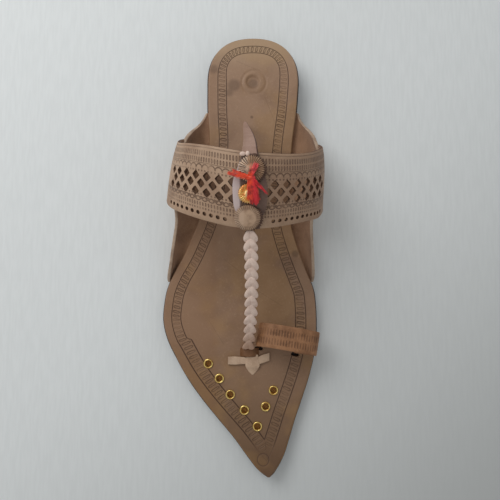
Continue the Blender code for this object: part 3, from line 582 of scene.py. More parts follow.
# %% [markdown]
# ## Finishes of the sole
# The insole is smooth tan hide. It is darkened as painted shade towards the front, the toe and
# the lateral edge, and paled as painted light at the back of the heel. Two
# lines are drawn along its edge with a hot tool and slanted ovals are struck between them.
# The pattern follows the edge, so the insole has its own UV map: the distance along the edge,
# and the share of the way from the outer to the inner line. The stretch under the band is
# darkened as painted shade, so that the punched holes read dark from above. The outsole is dark
# at its cut edge and tan on top at the toe, where it shows through the eyelets.

# %% Finish: insole leather
OVAL_PITCH = 3.5
TOE_MARK_AT = (0.0065, -0.2513)
TOE_MARK_RADIUS = 0.0038
BORDER_FADES = (-0.247, -0.236)
insole_finish, tree, shader, place, border, skin_out = leather(
    "insole_leather", (137, 110, 89), (113, 88, 70), (152, 125, 103), 26.0, 620.0, 0.56, "Border")
y = tree.split(place)["Y"]
x = tree.split(place)["X"]
# Painted shade: the insole is darkened a little towards the front and strongly towards the toe, where less
# light falls.
front = tree.step(y, 0.0, -0.10, 0.0, 1.0)
toe = tree.step(y, -0.15, -0.26, 0.0, 1.0)
colour = tree.mix(tree.math("MULTIPLY", front, 0.20), skin_out["Colour"], tone(116, 90, 70))
colour = tree.mix(tree.math("MULTIPLY", toe, 0.80), colour, tone(88, 67, 49))
line_place = tree.math("PINGPONG", border["Y"], 0.5)
lines = tree.step(tree.math("ABSOLUTE", line_place), 0.015, 0.055, 1.0, 0.0)
past_outer = tree.step(border["Y"], -0.12, -0.06)
before_inner = tree.step(border["Y"], 1.06, 1.12, 1.0, 0.0)
lines = tree.math("MULTIPLY", lines, tree.math("MULTIPLY", past_outer, before_inner))
lines = tree.math("MULTIPLY", lines, tree.step(y, *BORDER_FADES, 0.15, 1.0))
ovals, oval_hearts = [
    tree.group(dash_row, {
        "Along": border["X"], "Across": border["Y"], "Centre": 0.5, "Length": length,
        "Pitch": OVAL_PITCH, "Width": width, "Slant": 0.9})["Mask"]
    for length, width in ((0.78, 2.0), (0.60, 1.0))
]
oval_rims = tree.math("SUBTRACT", ovals, oval_hearts)
worn = tree.step(tree.noise(place, 60.0, 3.0), 0.35, 0.6, 0.35, 1.0)
oval_rims = tree.math("MULTIPLY", oval_rims, worn)
oval_rims = tree.math("MULTIPLY", oval_rims, tree.step(y, *BORDER_FADES, 0.1, 1.0))
golden = tree.step(tree.noise(place, 26.0, 3.0), 0.46, 0.60, 0.0, 0.32)
colour = tree.mix(golden, colour, tone(146, 114, 74))
# Painted shade and light: the toe tip and a strip along the lateral side are darkened as painted shade, and
# the back of the heel is paled as painted light.
colour = tree.mix(tree.step(y, -0.262, -0.236, 0.50, 0.0), colour, tone(76, 55, 38))
colour = tree.mix(tree.step(x, -0.028, -0.022, 0.22, 0.0), colour, tone(112, 78, 50))
colour = tree.mix(tree.step(y, 0.008, 0.034, 0.0, 0.50), colour, tone(172, 148, 122))
# Painted shade: the stretch under the band is darkened, so that the punched holes read dark.
behind_front_edge = tree.step(y, -0.088, -0.078)
painted_shade_under_band = tree.math("MULTIPLY", behind_front_edge, tree.step(y, -0.050, -0.042, 0.60, 0.0))
colour = tree.mix(painted_shade_under_band, colour, tone(78, 55, 44))
colour = tree.mix(tree.math("MULTIPLY", lines, 0.85), colour, tone(66, 47, 37))
colour = tree.mix(tree.math("MULTIPLY", oval_rims, 0.50), colour, tone(76, 56, 45))

# %% Finish: stains, toe ring and scratches of the insole
STAINS = (
    (-0.0133, 0.0026, 0.0042, 0.003, 0.42), (-0.0166, -0.0030, 0.0026, 0.003, 0.36),
    (-0.0272, 0.0140, 0.0030, 0.003, 0.40), (-0.0010, -0.0202, 0.0010, 0.001, 0.55),
    (0.0290, -0.1140, 0.0024, 0.002, 0.45), (-0.0002, 0.0036, 0.0036, 0.0022, 0.38),
)


def spot_mask(centre_x, centre_y, radius, soft):
    """A round spot on the insole's material."""
    sockets = {"Place": place, "Centre": (centre_x, centre_y, 0.0), "Radius": radius, "Soft": soft}
    return tree.group(spot, sockets)["Mask"]


for centre_x, centre_y, radius, soft, share in STAINS:
    stain = tree.math("MULTIPLY", spot_mask(centre_x, centre_y, radius, soft), share)
    colour = tree.mix(stain, colour, tone(74, 57, 46))
toe_ring = tree.math(
    "SUBTRACT", spot_mask(*TOE_MARK_AT, TOE_MARK_RADIUS + 0.0003, 0.0003),
    spot_mask(*TOE_MARK_AT, TOE_MARK_RADIUS - 0.0002, 0.0003))
colour = tree.mix(tree.math("MULTIPLY", toe_ring, 0.6), colour, tone(58, 42, 32))
SCRATCHES = (
    ((-0.012, 0.020), (0.002, 0.014), 0.0003), ((0.008, -0.006), (0.015, -0.024), 0.0003),
    ((-0.020, -0.118), (-0.004, -0.130), 0.0003), ((0.020, -0.150), (0.004, -0.140), 0.0003),
    ((-0.030, -0.160), (-0.020, -0.176), 0.0003), ((0.0209, -0.1832), (0.0260, -0.1832), 0.0006),
)
scored = 0.0
for (from_x, from_y), (to_x, to_y), width in SCRATCHES:
    mask = tree.group(scratch, {
        "Place": place, "From": (from_x, from_y, 0.0), "To": (to_x, to_y, 0.0), "Width": width})["Mask"]
    scored = tree.math("MAXIMUM", mask, scored)
colour = tree.mix(tree.math("MULTIPLY", scored, 0.20), colour, tone(78, 58, 46))
relief = tree.math("MULTIPLY_ADD", lines, -0.9, tree.math("MULTIPLY", skin_out["Height"], 0.22))
relief = tree.math("MULTIPLY_ADD", oval_rims, -0.8, relief)
dress(tree, shader, colour, skin_out, relief, 0.9, 0.0007)

# %% Finish: dark cut edge of the sole
sole_finish, tree, shader, place, flat, skin_out = leather(
    "outsole_leather", (58, 43, 36), (38, 28, 24), (84, 64, 52), 40.0, 500.0, 0.6)
layers = tree.noise(tree.vector("MULTIPLY", place, (60.0, 60.0, 2200.0)), 1.0, 2.0)
faces = tree.add("ShaderNodeNewGeometry", {}, "Normal")
upward = tree.step(tree.split(faces)["Z"], 0.7, 0.9)
at_eyelets = tree.math("MULTIPLY", upward, tree.step(tree.split(place)["Y"], -0.186, -0.183, 1.0, 0.0))
colour = tree.mix(at_eyelets, skin_out["Colour"], tone(150, 112, 70))
dress(tree, shader, colour, skin_out, tree.math("ADD", skin_out["Height"], layers), 0.5, 0.0003)

# %% [markdown]
# ## Insole, outsole and heel
# Each layer of the sole is a loft: across every station runs a ring, up the lateral edge,
# over the top, down the medial edge and back underneath. The insole needs a fine top,
# because the stamp at the heel and the wear under the foot are pressed into it as real
# dents. The outsole keeps a step along both sides of the waist, where the ears are let in.


# %% Sole rings
def sole_stations(count, first=0.0, last=1.0):
    """Stations that crowd together at the round heel and at the pointed toe."""
    heel = HEEL_CAP * np.linspace(0, 1, count // 5)**2
    toe = 1 - (1 - 0.93) * np.linspace(1, 0, count // 9)**1.6
    middle = np.linspace(HEEL_CAP, 0.93, count - len(heel) - len(toe) + 2)[1:-1]
    whole = np.concatenate([heel, middle, toe])
    kept = whole[(whole >= first) & (whole < last)]
    return np.append(kept, last)


def sole_rings(stations, y, low, inward, up, across, below=9, pressed=None):
    """Rings of a sole layer. The lateral side goes up the pairs (inward, up), arrays (n, m);
    the top goes straight across, moved down by the function pressed(x, y); the medial side
    mirrors the lateral one, and the underside is flat."""
    left, right = outline(stations)
    most_inward = (right - left)[:, None] * np.linspace(0.02, 0.30, inward.shape[1])
    inward = np.minimum(inward, most_inward)
    side_z = low[:, None] + up
    share = np.linspace(0, 1, across + 2)[1:-1]
    top_from = left + inward[:, -1]
    top_to = right - inward[:, -1]
    top_x = top_from[:, None] + (top_to - top_from)[:, None] * share
    top_z = np.repeat(side_z[:, -1:], across, 1)
    if pressed is not None:
        top_z = top_z - pressed(top_x, np.repeat(y[:, None], across, 1))
    share = np.linspace(1, 0, below + 2)[1:-1]
    under_x = (left + inward[:, 0])[:, None] + (right - left - 2 * inward[:, 0])[:, None] * share
    under_z = np.repeat(side_z[:, :1], below, 1)
    x = np.hstack([left[:, None] + inward, top_x, (right[:, None] - inward)[:, ::-1], under_x])
    z = np.hstack([side_z, top_z, side_z[:, ::-1], under_z])
    return np.stack([x, np.repeat(y[:, None], x.shape[1], 1), z], -1)


def level(values, count):
    """A row of numbers repeated for every station."""
    return np.repeat(np.asarray(values, float)[None], count, 0)


# %% Dents pressed into the insole
STAMP_AT = (0.0006, 0.0047)
STAMP_RING = 0.0084
DIMPLE_AT = (-0.0003, 0.0051)
DIMPLE_RADIUS = 0.0052


def pressed(x, y):
    """Depth pressed into the insole: shallow bowls under the heel and the ball, a ring struck
    at the heel with a dimple in it, and a small ring at the toe."""
    heel_bowl = 0.00045 * np.exp(-((x / 0.017)**2 + ((y - 0.002) / 0.026)**2))
    ball_bowl = 0.00040 * np.exp(-(((x + 0.012) / 0.026)**2 + ((y + 0.125) / 0.040)**2))
    from_stamp = np.hypot(x - STAMP_AT[0], y - STAMP_AT[1])
    ring = 0.00035 * np.exp(-((from_stamp - STAMP_RING) / 0.0007)**2)
    raised = -0.00015 * ease((STAMP_RING - from_stamp) / 0.002)
    from_dimple = np.hypot(x - DIMPLE_AT[0], y - DIMPLE_AT[1])
    dimple = 0.00110 * ease((DIMPLE_RADIUS - from_dimple) / 0.0016)
    from_toe = np.hypot(x - TOE_MARK_AT[0], y - TOE_MARK_AT[1])
    toe_ring = 0.0002 * np.exp(-((from_toe - TOE_MARK_RADIUS) / 0.0005)**2)
    return heel_bowl + ball_bowl + ring + raised + dimple + toe_ring


# %% Holes in the insole
EYELETS = np.array((
    (-0.287, 0.7523),
    (-0.216, 0.7850),
    (-0.146, 0.8207),
    (-0.056, 0.8547),
    (0.026, 0.8903),
    (0.078, 0.8470),
    (0.128, 0.8113),
))
EYELET_FLANGE = 0.0065
EYELET_BORE = 0.0042
EYELET_BARREL = 0.0052
EYELET_PLAY = 0.0006
LOOP_WIDTH = 0.0155
LOOP_THICK = 0.0020
LOOP_SPAN = 0.0248
LOOP_SHARE = 0.1650
LOOP_STATION = 0.6966
LOOP_LEAN = 0.125
LOOP_TURN = math.radians(-9.5)
SLIT_PLAY = 0.0004
eyelet_x = EYELETS[:, 0] * BALL_WIDTH
eyelet_y = station_y(EYELETS[:, 1])
loop_centre = np.array((LOOP_SHARE * BALL_WIDTH, station_y(LOOP_STATION)))
loop_axis = np.array((math.cos(LOOP_TURN), math.sin(LOOP_TURN)))
loop_cross = np.array((-loop_axis[1], loop_axis[0]))


def rounded(half_x, half_y, power, count):
    """A closed outline |x/a|^p + |y/b|^p = 1: a circle for 2, a diamond for 1, nearly a
    rectangle for 8."""
    turn = np.linspace(0, TURN, count, endpoint=False)
    c = np.cos(turn)
    s = np.sin(turn)
    return np.stack([
        half_x * np.sign(c) * np.abs(c)**(2 / power), half_y * np.sign(s) * np.abs(s)**(2 / power)], -1)


turn = np.linspace(0, TURN, 24, endpoint=False)
bore = (EYELET_BARREL + EYELET_PLAY / 3) / 2
rounds = np.stack([eyelet_x[:, None] + bore * np.cos(turn), eyelet_y[:, None] + bore * np.sin(turn)], -1)
slit = rounded(LOOP_THICK / 2 + SLIT_PLAY, LOOP_WIDTH / 2 + 2 * SLIT_PLAY, 5.0, 24)
slits = np.stack([
    loop_centre + loop_axis * (side * LOOP_SPAN / 2 + slit[:, :1]) + loop_cross * slit[:, 1:]
    for side in (-1, 1)
])
GAPE = (0.0027, 0.0012)
GAPE_PAST_STRAP = 0.0010
wide_slit = rounded(*GAPE, 3.0, 24)
gape_cross = loop_cross * (wide_slit[:, 1:] - LOOP_WIDTH / 2 - GAPE_PAST_STRAP)
gapes = np.stack([
    loop_centre + loop_axis * (side * LOOP_SPAN / 2 + wide_slit[:, :1]) + gape_cross for side in (-1, 1)
])
hole_cutters = prisms(np.concatenate([rounds, slits]), -0.01, 0.05)
gape_cutters = prisms(gapes, -0.01, 0.05)

# %% Insole
stations = sole_stations(370)
insole_y = HEEL_CENTRE - INSOLE_INSET - stations * (SOLE_LENGTH - 2 * INSOLE_INSET)
insole_low = outsole_top(station_at(insole_y)) + GAP
inward = level((INSOLE_INSET, INSOLE_INSET, 0.00115, 0.00135, 0.0017), len(stations))
up = level((0.0, 0.0028, 0.00315, 0.0034, INSOLE_THICK), len(stations))
insole_mesh = skin("insole", sole_rings(stations, insole_y, insole_low, inward, up, 120, 9, pressed))
insole_mesh = cut(cut(insole_mesh, hole_cutters), gape_cutters)


def edge_path(count):
    """The insole's edge from the toe up the lateral side, round the heel and down again."""
    s = sole_stations(count)
    left, right = outline(s)
    y = HEEL_CENTRE - INSOLE_INSET - s * (SOLE_LENGTH - 2 * INSOLE_INSET)
    lateral = np.column_stack([left + INSOLE_INSET, y])[::-1]
    medial = np.column_stack([right - INSOLE_INSET, y])
    return np.vstack([lateral, medial[1:]]), np.concatenate([-s[::-1], s[1:]])


# %% Pattern of the insole's border
BORDER_LATERAL = np.array((
    (0.000, 5.4, 10.2), (0.050, 6.0, 11.2), (0.100, 6.7, 12.6), (0.250, 6.9, 12.8),
    (0.400, 6.5, 12.5), (0.550, 5.8, 12.0), (0.660, 5.6, 11.8), (0.715, 5.6, 12.2),
    (0.722, 6.0, 14.6), (0.850, 6.8, 15.0), (1.000, 7.5, 15.0),
))
BORDER_MEDIAL = np.array((
    (0.000, 5.4, 10.2), (0.050, 6.0, 11.2), (0.100, 6.7, 12.6), (0.250, 6.9, 12.8),
    (0.400, 7.0, 13.2), (0.550, 7.0, 13.5), (0.660, 7.0, 14.0), (0.800, 7.4, 14.6),
    (1.000, 7.8, 15.0),
))


def border_uv(points):
    """For each point, the distance along the insole's edge to its nearest place on the edge,
    in millimetres, and its distance in from the edge as a share of the way from the outer
    to the inner line."""
    path, signed = edge_path(420)
    along = length_along(path)
    way = unit(np.gradient(path, axis=0))
    nearest = np.concatenate([
        np.argmin(((part[:, None] - path[None])**2).sum(-1), 1)
        for part in np.array_split(points[:, :2], 40)
    ])
    offset = points[:, :2] - path[nearest]
    slide = (offset * way[nearest]).sum(1)
    depth = np.abs(offset[:, 0] * way[nearest, 1] - offset[:, 1] * way[nearest, 0]) * 1000
    station = np.abs(signed[nearest])
    medial = signed[nearest] > 0
    pair = [
        np.where(medial, np.interp(station, BORDER_MEDIAL[:, 0], BORDER_MEDIAL[:, i]),
                 np.interp(station, BORDER_LATERAL[:, 0], BORDER_LATERAL[:, i]))
        for i in (1, 2)
    ]
    return np.column_stack([(along[nearest] + slide) * 1000, (depth - pair[0]) / (pair[1] - pair[0])])


write_uv(insole_mesh, "Border", border_uv(corners_of(insole_mesh)))
piece(insole_mesh, "insole_hide", [insole_finish], ["insole"])

# %% Outsole and heel
WALL = 0.0022
FLANGE = 0.0060
RECESS_PLAY = 0.0012
EAR_REAR_STATION = 0.176
EAR_FRONT_STATION = 0.566
stations = sole_stations(230)
play = RECESS_PLAY / SOLE_LENGTH
let_in = (stations > EAR_REAR_STATION - play) & (stations < EAR_FRONT_STATION + play)
plain_in = level((0.0006, 0.0002, 0.0, 0.0, 0.0, 0.0003, 0.0006), len(stations))
plain_up = level((0.0, 0.0002, 0.0006, 0.0025, 0.0049, 0.0053, OUTSOLE_THICK), len(stations))
recess = INSOLE_INSET + FLANGE + GAP
shelf = OUTSOLE_THICK - WALL - GAP
recess_in = level((0.0006, 0.0002, 0.0, 0.0, 0.0, recess, recess), len(stations))
recess_up = level((0.0, 0.0002, 0.0006, 0.0018, shelf, shelf, OUTSOLE_THICK), len(stations))
inward = np.where(let_in[:, None], recess_in, plain_in)
up = np.where(let_in[:, None], recess_up, plain_up)
outsole_mesh = skin("outsole", sole_rings(
    stations, station_y(stations), base_height(stations), inward, up, 9))
piece(outsole_mesh, "outsole_hide", [sole_finish], ["outsole"])

stations = sole_stations(230, 0.0, HEEL_BREAST)
lift = HEEL_HEIGHT / 2
inward = level((0.0006, 0.0, 0.0, 0.0005, 0.0, 0.0, 0.0003), len(stations))
up = level((0.0, 0.0006, lift - 0.0004, lift, lift + 0.0004, 0.0085, HEEL_HEIGHT), len(stations))
heel_mesh = skin("heel", sole_rings(
    stations, station_y(stations), np.zeros(len(stations)), inward, up, 9))
piece(heel_mesh, "heel_lifts", [sole_finish], ["heel"])

# %% [markdown]
# ## The upper's surface
# Band, ears and centre strap all lie on one surface over the foot. It is a table of
# sections: each rises from its flange in the sole along a Bezier curve and crosses the
# instep as half an ellipse, leaning forward. Every point has its distance along the section,
# so flat leather can be laid on it by two numbers, as a maker bends it over the last.

# %% Sections of the upper
INSTEP_HEIGHT = 0.0660
UPPER = np.array((
    (0.170, 0.360, 0.335, 0.270, 1.060, 0.36),
    (0.240, 0.443, 0.395, 0.303, 1.000, 0.42),
    (0.362, 0.507, 0.397, 0.303, 0.820, 0.56),
    (0.460, 0.535, 0.400, 0.250, 0.700, 0.50),
    (0.570, 0.560, 0.405, 0.200, 0.560, 0.30),
))
RIDGE = -0.019 * BALL_WIDTH
STRAP_CENTRE = -0.0207 * BALL_WIDTH
LEG_POINTS = 25
ARCH_POINTS = 61


def leg(start, reach, low, spring, side):
    """One side of the section in the plane (x, z): from the flange, a Bezier curve that
    leaves the sole level and arrives upright at the spring line."""
    handle = np.maximum(0.005, 0.6 * np.abs(reach - start))
    middle = spring - 0.5 * (spring - low)
    knots = np.stack([
        np.stack([start, low], -1), np.stack([start + side * handle, low], -1),
        np.stack([reach, middle], -1), np.stack([reach, spring], -1),
    ], 1)
    t = np.linspace(0, 1, LEG_POINTS)[:, None]
    weights = np.hstack([(1 - t)**3, 3 * t * (1 - t)**2, 3 * t**2 * (1 - t), t**3])
    rise = np.einsum("tk,skc->stc", weights, knots)
    flange = np.stack([start - side * FLANGE, low], -1)[:, None]
    return np.concatenate([flange, rise], 1)


def upper_sections(station):
    """Sections (n, m, 3) from the lateral flange over the ridge to the medial flange."""
    rows = [through(UPPER[:, 0], UPPER[:, i], station) for i in range(1, 6)]
    lateral = -rows[0] * BALL_WIDTH
    medial = rows[1] * BALL_WIDTH
    spring = insole_top(station) + rows[2] * INSTEP_HEIGHT
    rise = (rows[3] - rows[2]) * INSTEP_HEIGHT
    left, right = outline(station)
    low = outsole_top(station) - WALL
    turn = np.linspace(-math.pi / 2, math.pi / 2, ARCH_POINTS)[1:-1]
    side = np.where(turn < 0, (RIDGE - lateral)[:, None], (medial - RIDGE)[:, None])
    arch = np.stack([
        RIDGE + side * np.sin(turn), spring[:, None] + rise[:, None] * np.cos(turn)], -1)
    flat = np.concatenate([
        leg(left + INSOLE_INSET, lateral, low, spring, -1), arch,
        leg(right - INSOLE_INSET, medial, low, spring, 1)[:, ::-1]], 1)
    y = station_y(station)[:, None] - rows[4][:, None] * (flat[..., 1] - low[:, None])
    return np.stack([flat[..., 0], y, flat[..., 1]], -1)


# %% Reading the surface
class Shell:
    """The surface as a table: rows are stations, columns are equal shares of the length."""

    def __init__(self, first=0.150, last=0.590, rows=221, columns=601):
        self.first = first
        self.pace = (last - first) / (rows - 1)
        station = np.linspace(first, last, rows)
        sections = upper_sections(station)
        steps = np.linalg.norm(np.diff(sections, axis=1), axis=-1)
        along = np.hstack([np.zeros((rows, 1)), np.cumsum(steps, 1)])
        self.whole = along[:, -1]
        share = np.linspace(0, 1, columns)
        self.grid = np.array([
            [np.interp(share * a[-1], a, section[:, i]) for i in range(3)]
            for a, section in zip(along, sections)
        ]).transpose(0, 2, 1)
        self.normal = unit(np.cross(np.gradient(self.grid, axis=0), np.gradient(self.grid, axis=1)))
        inner = slice(LEG_POINTS + 1, -LEG_POINTS - 1)
        self.ridges = np.array([
            np.interp(STRAP_CENTRE, section[inner, 0], a[inner]) for a, section in zip(along, sections)
        ])

    def row(self, station):
        return np.clip((np.asarray(station) - self.first) / self.pace, 0, len(self.grid) - 1.001)

    def length(self, station):
        return np.interp(self.row(station), np.arange(len(self.whole)), self.whole)

    def ridge(self, station):
        return np.interp(self.row(station), np.arange(len(self.ridges)), self.ridges)

    def at(self, station, distance, lift=0.0):
        """Points at a station and a distance along the section, lifted along the normal:
        the four nearest entries of the table, weighed by nearness."""
        station, distance, lift = np.broadcast_arrays(station, distance, lift)
        columns = self.grid.shape[1]
        row = self.row(station)
        column = np.clip(distance / self.length(station) * (columns - 1), 0, columns - 1.001)
        i = row.astype(int)
        j = column.astype(int)
        a = (row - i)[..., None]
        b = (column - j)[..., None]

        def blend(table):
            near = table[i, j] * (1 - b) + table[i, j + 1] * b
            far = table[i + 1, j] * (1 - b) + table[i + 1, j + 1] * b
            return near * (1 - a) + far * a

        return blend(self.grid) + lift[..., None] * unit(blend(self.normal))


shell = Shell()
print("instep height", round(float(shell.grid[..., 2].max()) * 1000, 1), "mm")

# %% Places on the band
BAND_WIDTH = 0.0410
BAND_FRONT_STATION = 0.362
BAND_ROOT_SHARE = 0.893
BAND_END = 0.0080
BAND_EDGES = np.array((
    (-1.46, 0.127, 1.063), (-0.98, 0.137, 1.098), (-0.59, 0.107, 1.098), (-0.29, 0.066, 1.071),
    (0.00, 0.041, 1.041), (0.29, 0.041, 1.015), (0.61, 0.046, 0.990), (0.93, 0.032, 0.976),
    (1.27, -0.020, 0.980),
)) * BAND_WIDTH


def band_station(front, across):
    """Station of a place on the band: its two edges wander a little from a straight cut, so
    the distance from the front edge is counted between them."""
    front_edge = through(BAND_EDGES[:, 0], BAND_EDGES[:, 1], across)
    rear_edge = through(BAND_EDGES[:, 0], BAND_EDGES[:, 2], across)
    line = front_edge + (rear_edge - front_edge) * np.asarray(front) / BAND_WIDTH
    return BAND_FRONT_STATION - BAND_ROOT_SHARE * line / SOLE_LENGTH


def crest(front, across, lift=0.0):
    """A point over the band: from its front edge, from the strap's line, above its leather."""
    station = band_station(front, across)
    return shell.at(station, shell.ridge(station) + across, WALL + lift)


# %% [markdown]
# ## Leather of the upper
# The band is struck with rows of dashes along both edges, with a line of scallops inside
# each, and punched with three rows of diamonds and one of round holes. The stamps are read
# from the band's own flat pattern, in millimetres, so they follow the leather over the foot.

# %% Finish: band leather
DASH_PITCH = 1.8
ARC_RADIUS = 2.15
band_finish, tree, shader, place, flat, skin_out = leather(
    "band_leather", (158, 132, 110), (133, 107, 88), (176, 151, 129), 40.0, 900.0, 0.58, "Pattern")
dashes = []
for centre, length, width in ((36.4, 2.8, 0.95), (32.9, 2.5, 0.95), (9.6, 2.0, 0.8), (7.2, 1.1, 0.8)):
    socket_values = {
        "Along": flat["X"], "Across": flat["Y"], "Centre": centre, "Length": length,
        "Pitch": DASH_PITCH, "Width": width, "Slant": 0.04}
    outer_oval = tree.group(dash_row, socket_values)["Mask"]
    socket_values.update({"Length": length * 0.6, "Width": width * 0.42})
    inner_oval = tree.group(dash_row, socket_values)["Mask"]
    dashes.append(tree.math("MULTIPLY_ADD", inner_oval, -0.55, outer_oval))
arcs = []
for centre, radius, side in (
        (28.2, ARC_RADIUS, 1.0), (13.6, ARC_RADIUS, -1.0), (12.4, ARC_RADIUS / 2, 1.0)):
    arcs.append(tree.group(scallop_row, {
        "Along": flat["X"], "Across": flat["Y"], "Centre": centre, "Radius": radius,
        "Width": 0.42, "Side": side})["Mask"])
for centre in (27.1, 14.9):
    arcs.append(tree.group(dash_row, {
        "Along": flat["X"], "Across": flat["Y"], "Centre": centre, "Length": 0.9,
        "Pitch": ARC_RADIUS, "Width": 0.9, "Slant": 0.0})["Mask"])
ruled = []
for centre in (39.4, 31.1):
    off_line = tree.math("ABSOLUTE", tree.math("SUBTRACT", flat["Y"], centre))
    ruled.append(tree.math("MULTIPLY", tree.step(off_line, 0.10, 0.28, 1.0, 0.0), 0.6))
struck = tree.most(*dashes, *arcs, *ruled)
worn = tree.step(tree.noise(place, 140.0, 3.0), 0.30, 0.62, 0.45, 1.0)
struck = tree.math("MULTIPLY", struck, worn)
# The photo shows the band's medial half in shade, so its leather is toned darker there by place.
shaded = tree.step(tree.split(place)["X"], 0.002, 0.030, 0.0, 0.42)
colour = tree.mix(shaded, skin_out["Colour"], tone(116, 88, 70))
colour = tree.mix(tree.math("MULTIPLY", struck, 0.72), colour, tone(86, 64, 52))
relief = tree.math("MULTIPLY_ADD", struck, -0.9, tree.math("MULTIPLY", skin_out["Height"], 0.35))
dress(tree, shader, colour, skin_out, relief, 1.0, 0.0006)


# %% Plain leathers
def plain_leather(name, base, dark, pale, roughness, clouds, grain, depth, **constants):
    """A leather without stamps: the hide's colours, and its grain as bump."""
    mat, tree, shader, _, _, out = leather(name, base, dark, pale, clouds, grain, roughness, **constants)
    dress(tree, shader, out["Colour"], out, out["Height"], 0.7, depth)
    return mat


flesh_finish = plain_leather("flesh_side", (136, 106, 84), (110, 84, 66), (156, 126, 102), 0.85, 60.0,
                             1400.0, 0.0004, Sheen_Weight=0.15)
cut_finish = plain_leather("cut_edge", (158, 138, 120), (118, 98, 84), (182, 164, 146), 0.8, 120.0,
                           2200.0, 0.0004)
# Painted shade: the walls of the punched holes are dark brown, so that the holes read dark; the band's cut
# edges share this colour.
shaded_wall_finish = plain_leather("hole_wall_painted_shade", (98, 75, 60), (70, 52, 42), (118, 94, 76), 0.8, 120.0,
                            2000.0, 0.0003)
pale_finish = plain_leather("pale_leather", (202, 180, 167), (184, 160, 147), (220, 202, 190), 0.62,
                            90.0, 1500.0, 0.0004)
kite_finish = plain_leather("kite_leather", (170, 146, 124), (146, 121, 101), (186, 162, 141), 0.62,
                            110.0, 1300.0, 0.0003)
under_finish = plain_leather("under_leather", (84, 64, 54), (62, 46, 40), (104, 82, 68), 0.7, 160.0,
                             1500.0, 0.0004)
bridge_finish = plain_leather("bridge_leather", (106, 75, 52), (84, 58, 42), (124, 92, 68), 0.6,
                              120.0, 900.0, 0.0004)

# %% Finish: strap over the band
LILAC_EDGE = -0.0078
# Painted shade: the strap is pale lilac only along its lateral edge; the rest carries darker shaded tones,
# as painted shade from the ridge and the ornaments.
strap_shade_finish, tree, shader, place, flat, skin_out = leather(
    "strap_leather_painted_shade", (106, 86, 76), (82, 64, 56), (128, 108, 97), 90.0, 1300.0, 0.6)
lilac_side = tree.step(tree.split(place)["X"], LILAC_EDGE - 0.0006, LILAC_EDGE + 0.0006, 1.0, 0.0)
colour = tree.mix(tree.math("MULTIPLY", lilac_side, 0.9), skin_out["Colour"], tone(180, 164, 161))
dress(tree, shader, colour, skin_out, skin_out["Height"], 0.7, 0.0003)

# %% Finish: the strap's tail
tail_finish, tree, shader, place, flat, skin_out = leather(
    "tail_leather", (146, 119, 106), (128, 102, 90), (162, 136, 123), 90.0, 1300.0, 0.62, "Pattern")
# Painted shadow: a dark rim along the medial edge stands for the tail's shadow on the insole.
painted_shadow_rim = tree.step(flat["X"], 0.36, 0.46)
soft_rim = tree.step(flat["X"], -0.5, -0.15, 0.55, 0.0)
colour = tree.mix(painted_shadow_rim, skin_out["Colour"], tone(64, 46, 38))
colour = tree.mix(soft_rim, colour, tone(130, 104, 88))
dress(tree, shader, colour, skin_out, skin_out["Height"], 0.7, 0.0003)

# %% Finish: braid
braid_finish, tree, shader, place, flat, skin_out = leather(
    "braid_leather", (204, 182, 169), (184, 160, 147), (222, 204, 192), 220.0, 1500.0, 0.60)
# The links are toned tan and darker towards the braid's foot.
foot_tone = tree.step(tree.split(place)["Y"], -0.176, -0.160, 0.75, 0.0)
colour = tree.mix(foot_tone, skin_out["Colour"], tone(162, 130, 108))
dress(tree, shader, colour, skin_out, skin_out["Height"], 0.7, 0.0003)

# %% [markdown]
# ## Instep band
# The band is cut flat first: a slab of leather with rounded long edges, from which a mesh of
# small prisms takes the diamonds and the round holes. Only then is it bent: the flat x
# becomes the distance along the upper's section, the flat y its station, and the height
# above the slab's middle the lift along the surface's normal. Bending the pattern instead
# of modelling bent holes keeps every hole the shape of the punch.

# %% Punched holes
STRAP_WIDTH = 0.0182
DIAMOND_LONG = 0.0050
DIAMOND_ACROSS = 0.0052
DIAMOND_PITCH = 0.0076
DIAMOND_LATERAL = 0.0132
DIAMOND_MEDIAL = 0.0103
DIAMOND_ROWS = ((0.395, 0.5), (0.503, 0.0), (0.598, 0.5))
HOLE_ROW = 0.104
HOLE_DIAMETER = 0.0024
HOLE_START = 0.0140
HOLE_PITCH = 0.0041
PUNCHED_REACH = 0.0570
DIAMOND_POWER = 1.15
diamond = rounded(DIAMOND_ACROSS / 2, DIAMOND_LONG / 2, DIAMOND_POWER, 16)
round_hole = rounded(HOLE_DIAMETER / 2, HOLE_DIAMETER / 2, 2.0, 16)
punches = []
for side, first in ((-1, DIAMOND_LATERAL), (1, DIAMOND_MEDIAL)):
    for share, offset in DIAMOND_ROWS:
        x = np.arange(first + (offset - 1) * DIAMOND_PITCH, PUNCHED_REACH, DIAMOND_PITCH)
        x = side * x[x + DIAMOND_ACROSS / 4 > STRAP_WIDTH / 2]
        centres = np.column_stack([x, np.full(len(x), share * BAND_WIDTH)])
        punches.append(centres[:, None] + diamond)
    x = side * np.arange(HOLE_START, PUNCHED_REACH, HOLE_PITCH)
    centres = np.column_stack([x, np.full(len(x), HOLE_ROW * BAND_WIDTH)])
    punches.append(centres[:, None] + round_hole)
punches = np.concatenate(punches)
print("holes in the band", len(punches))

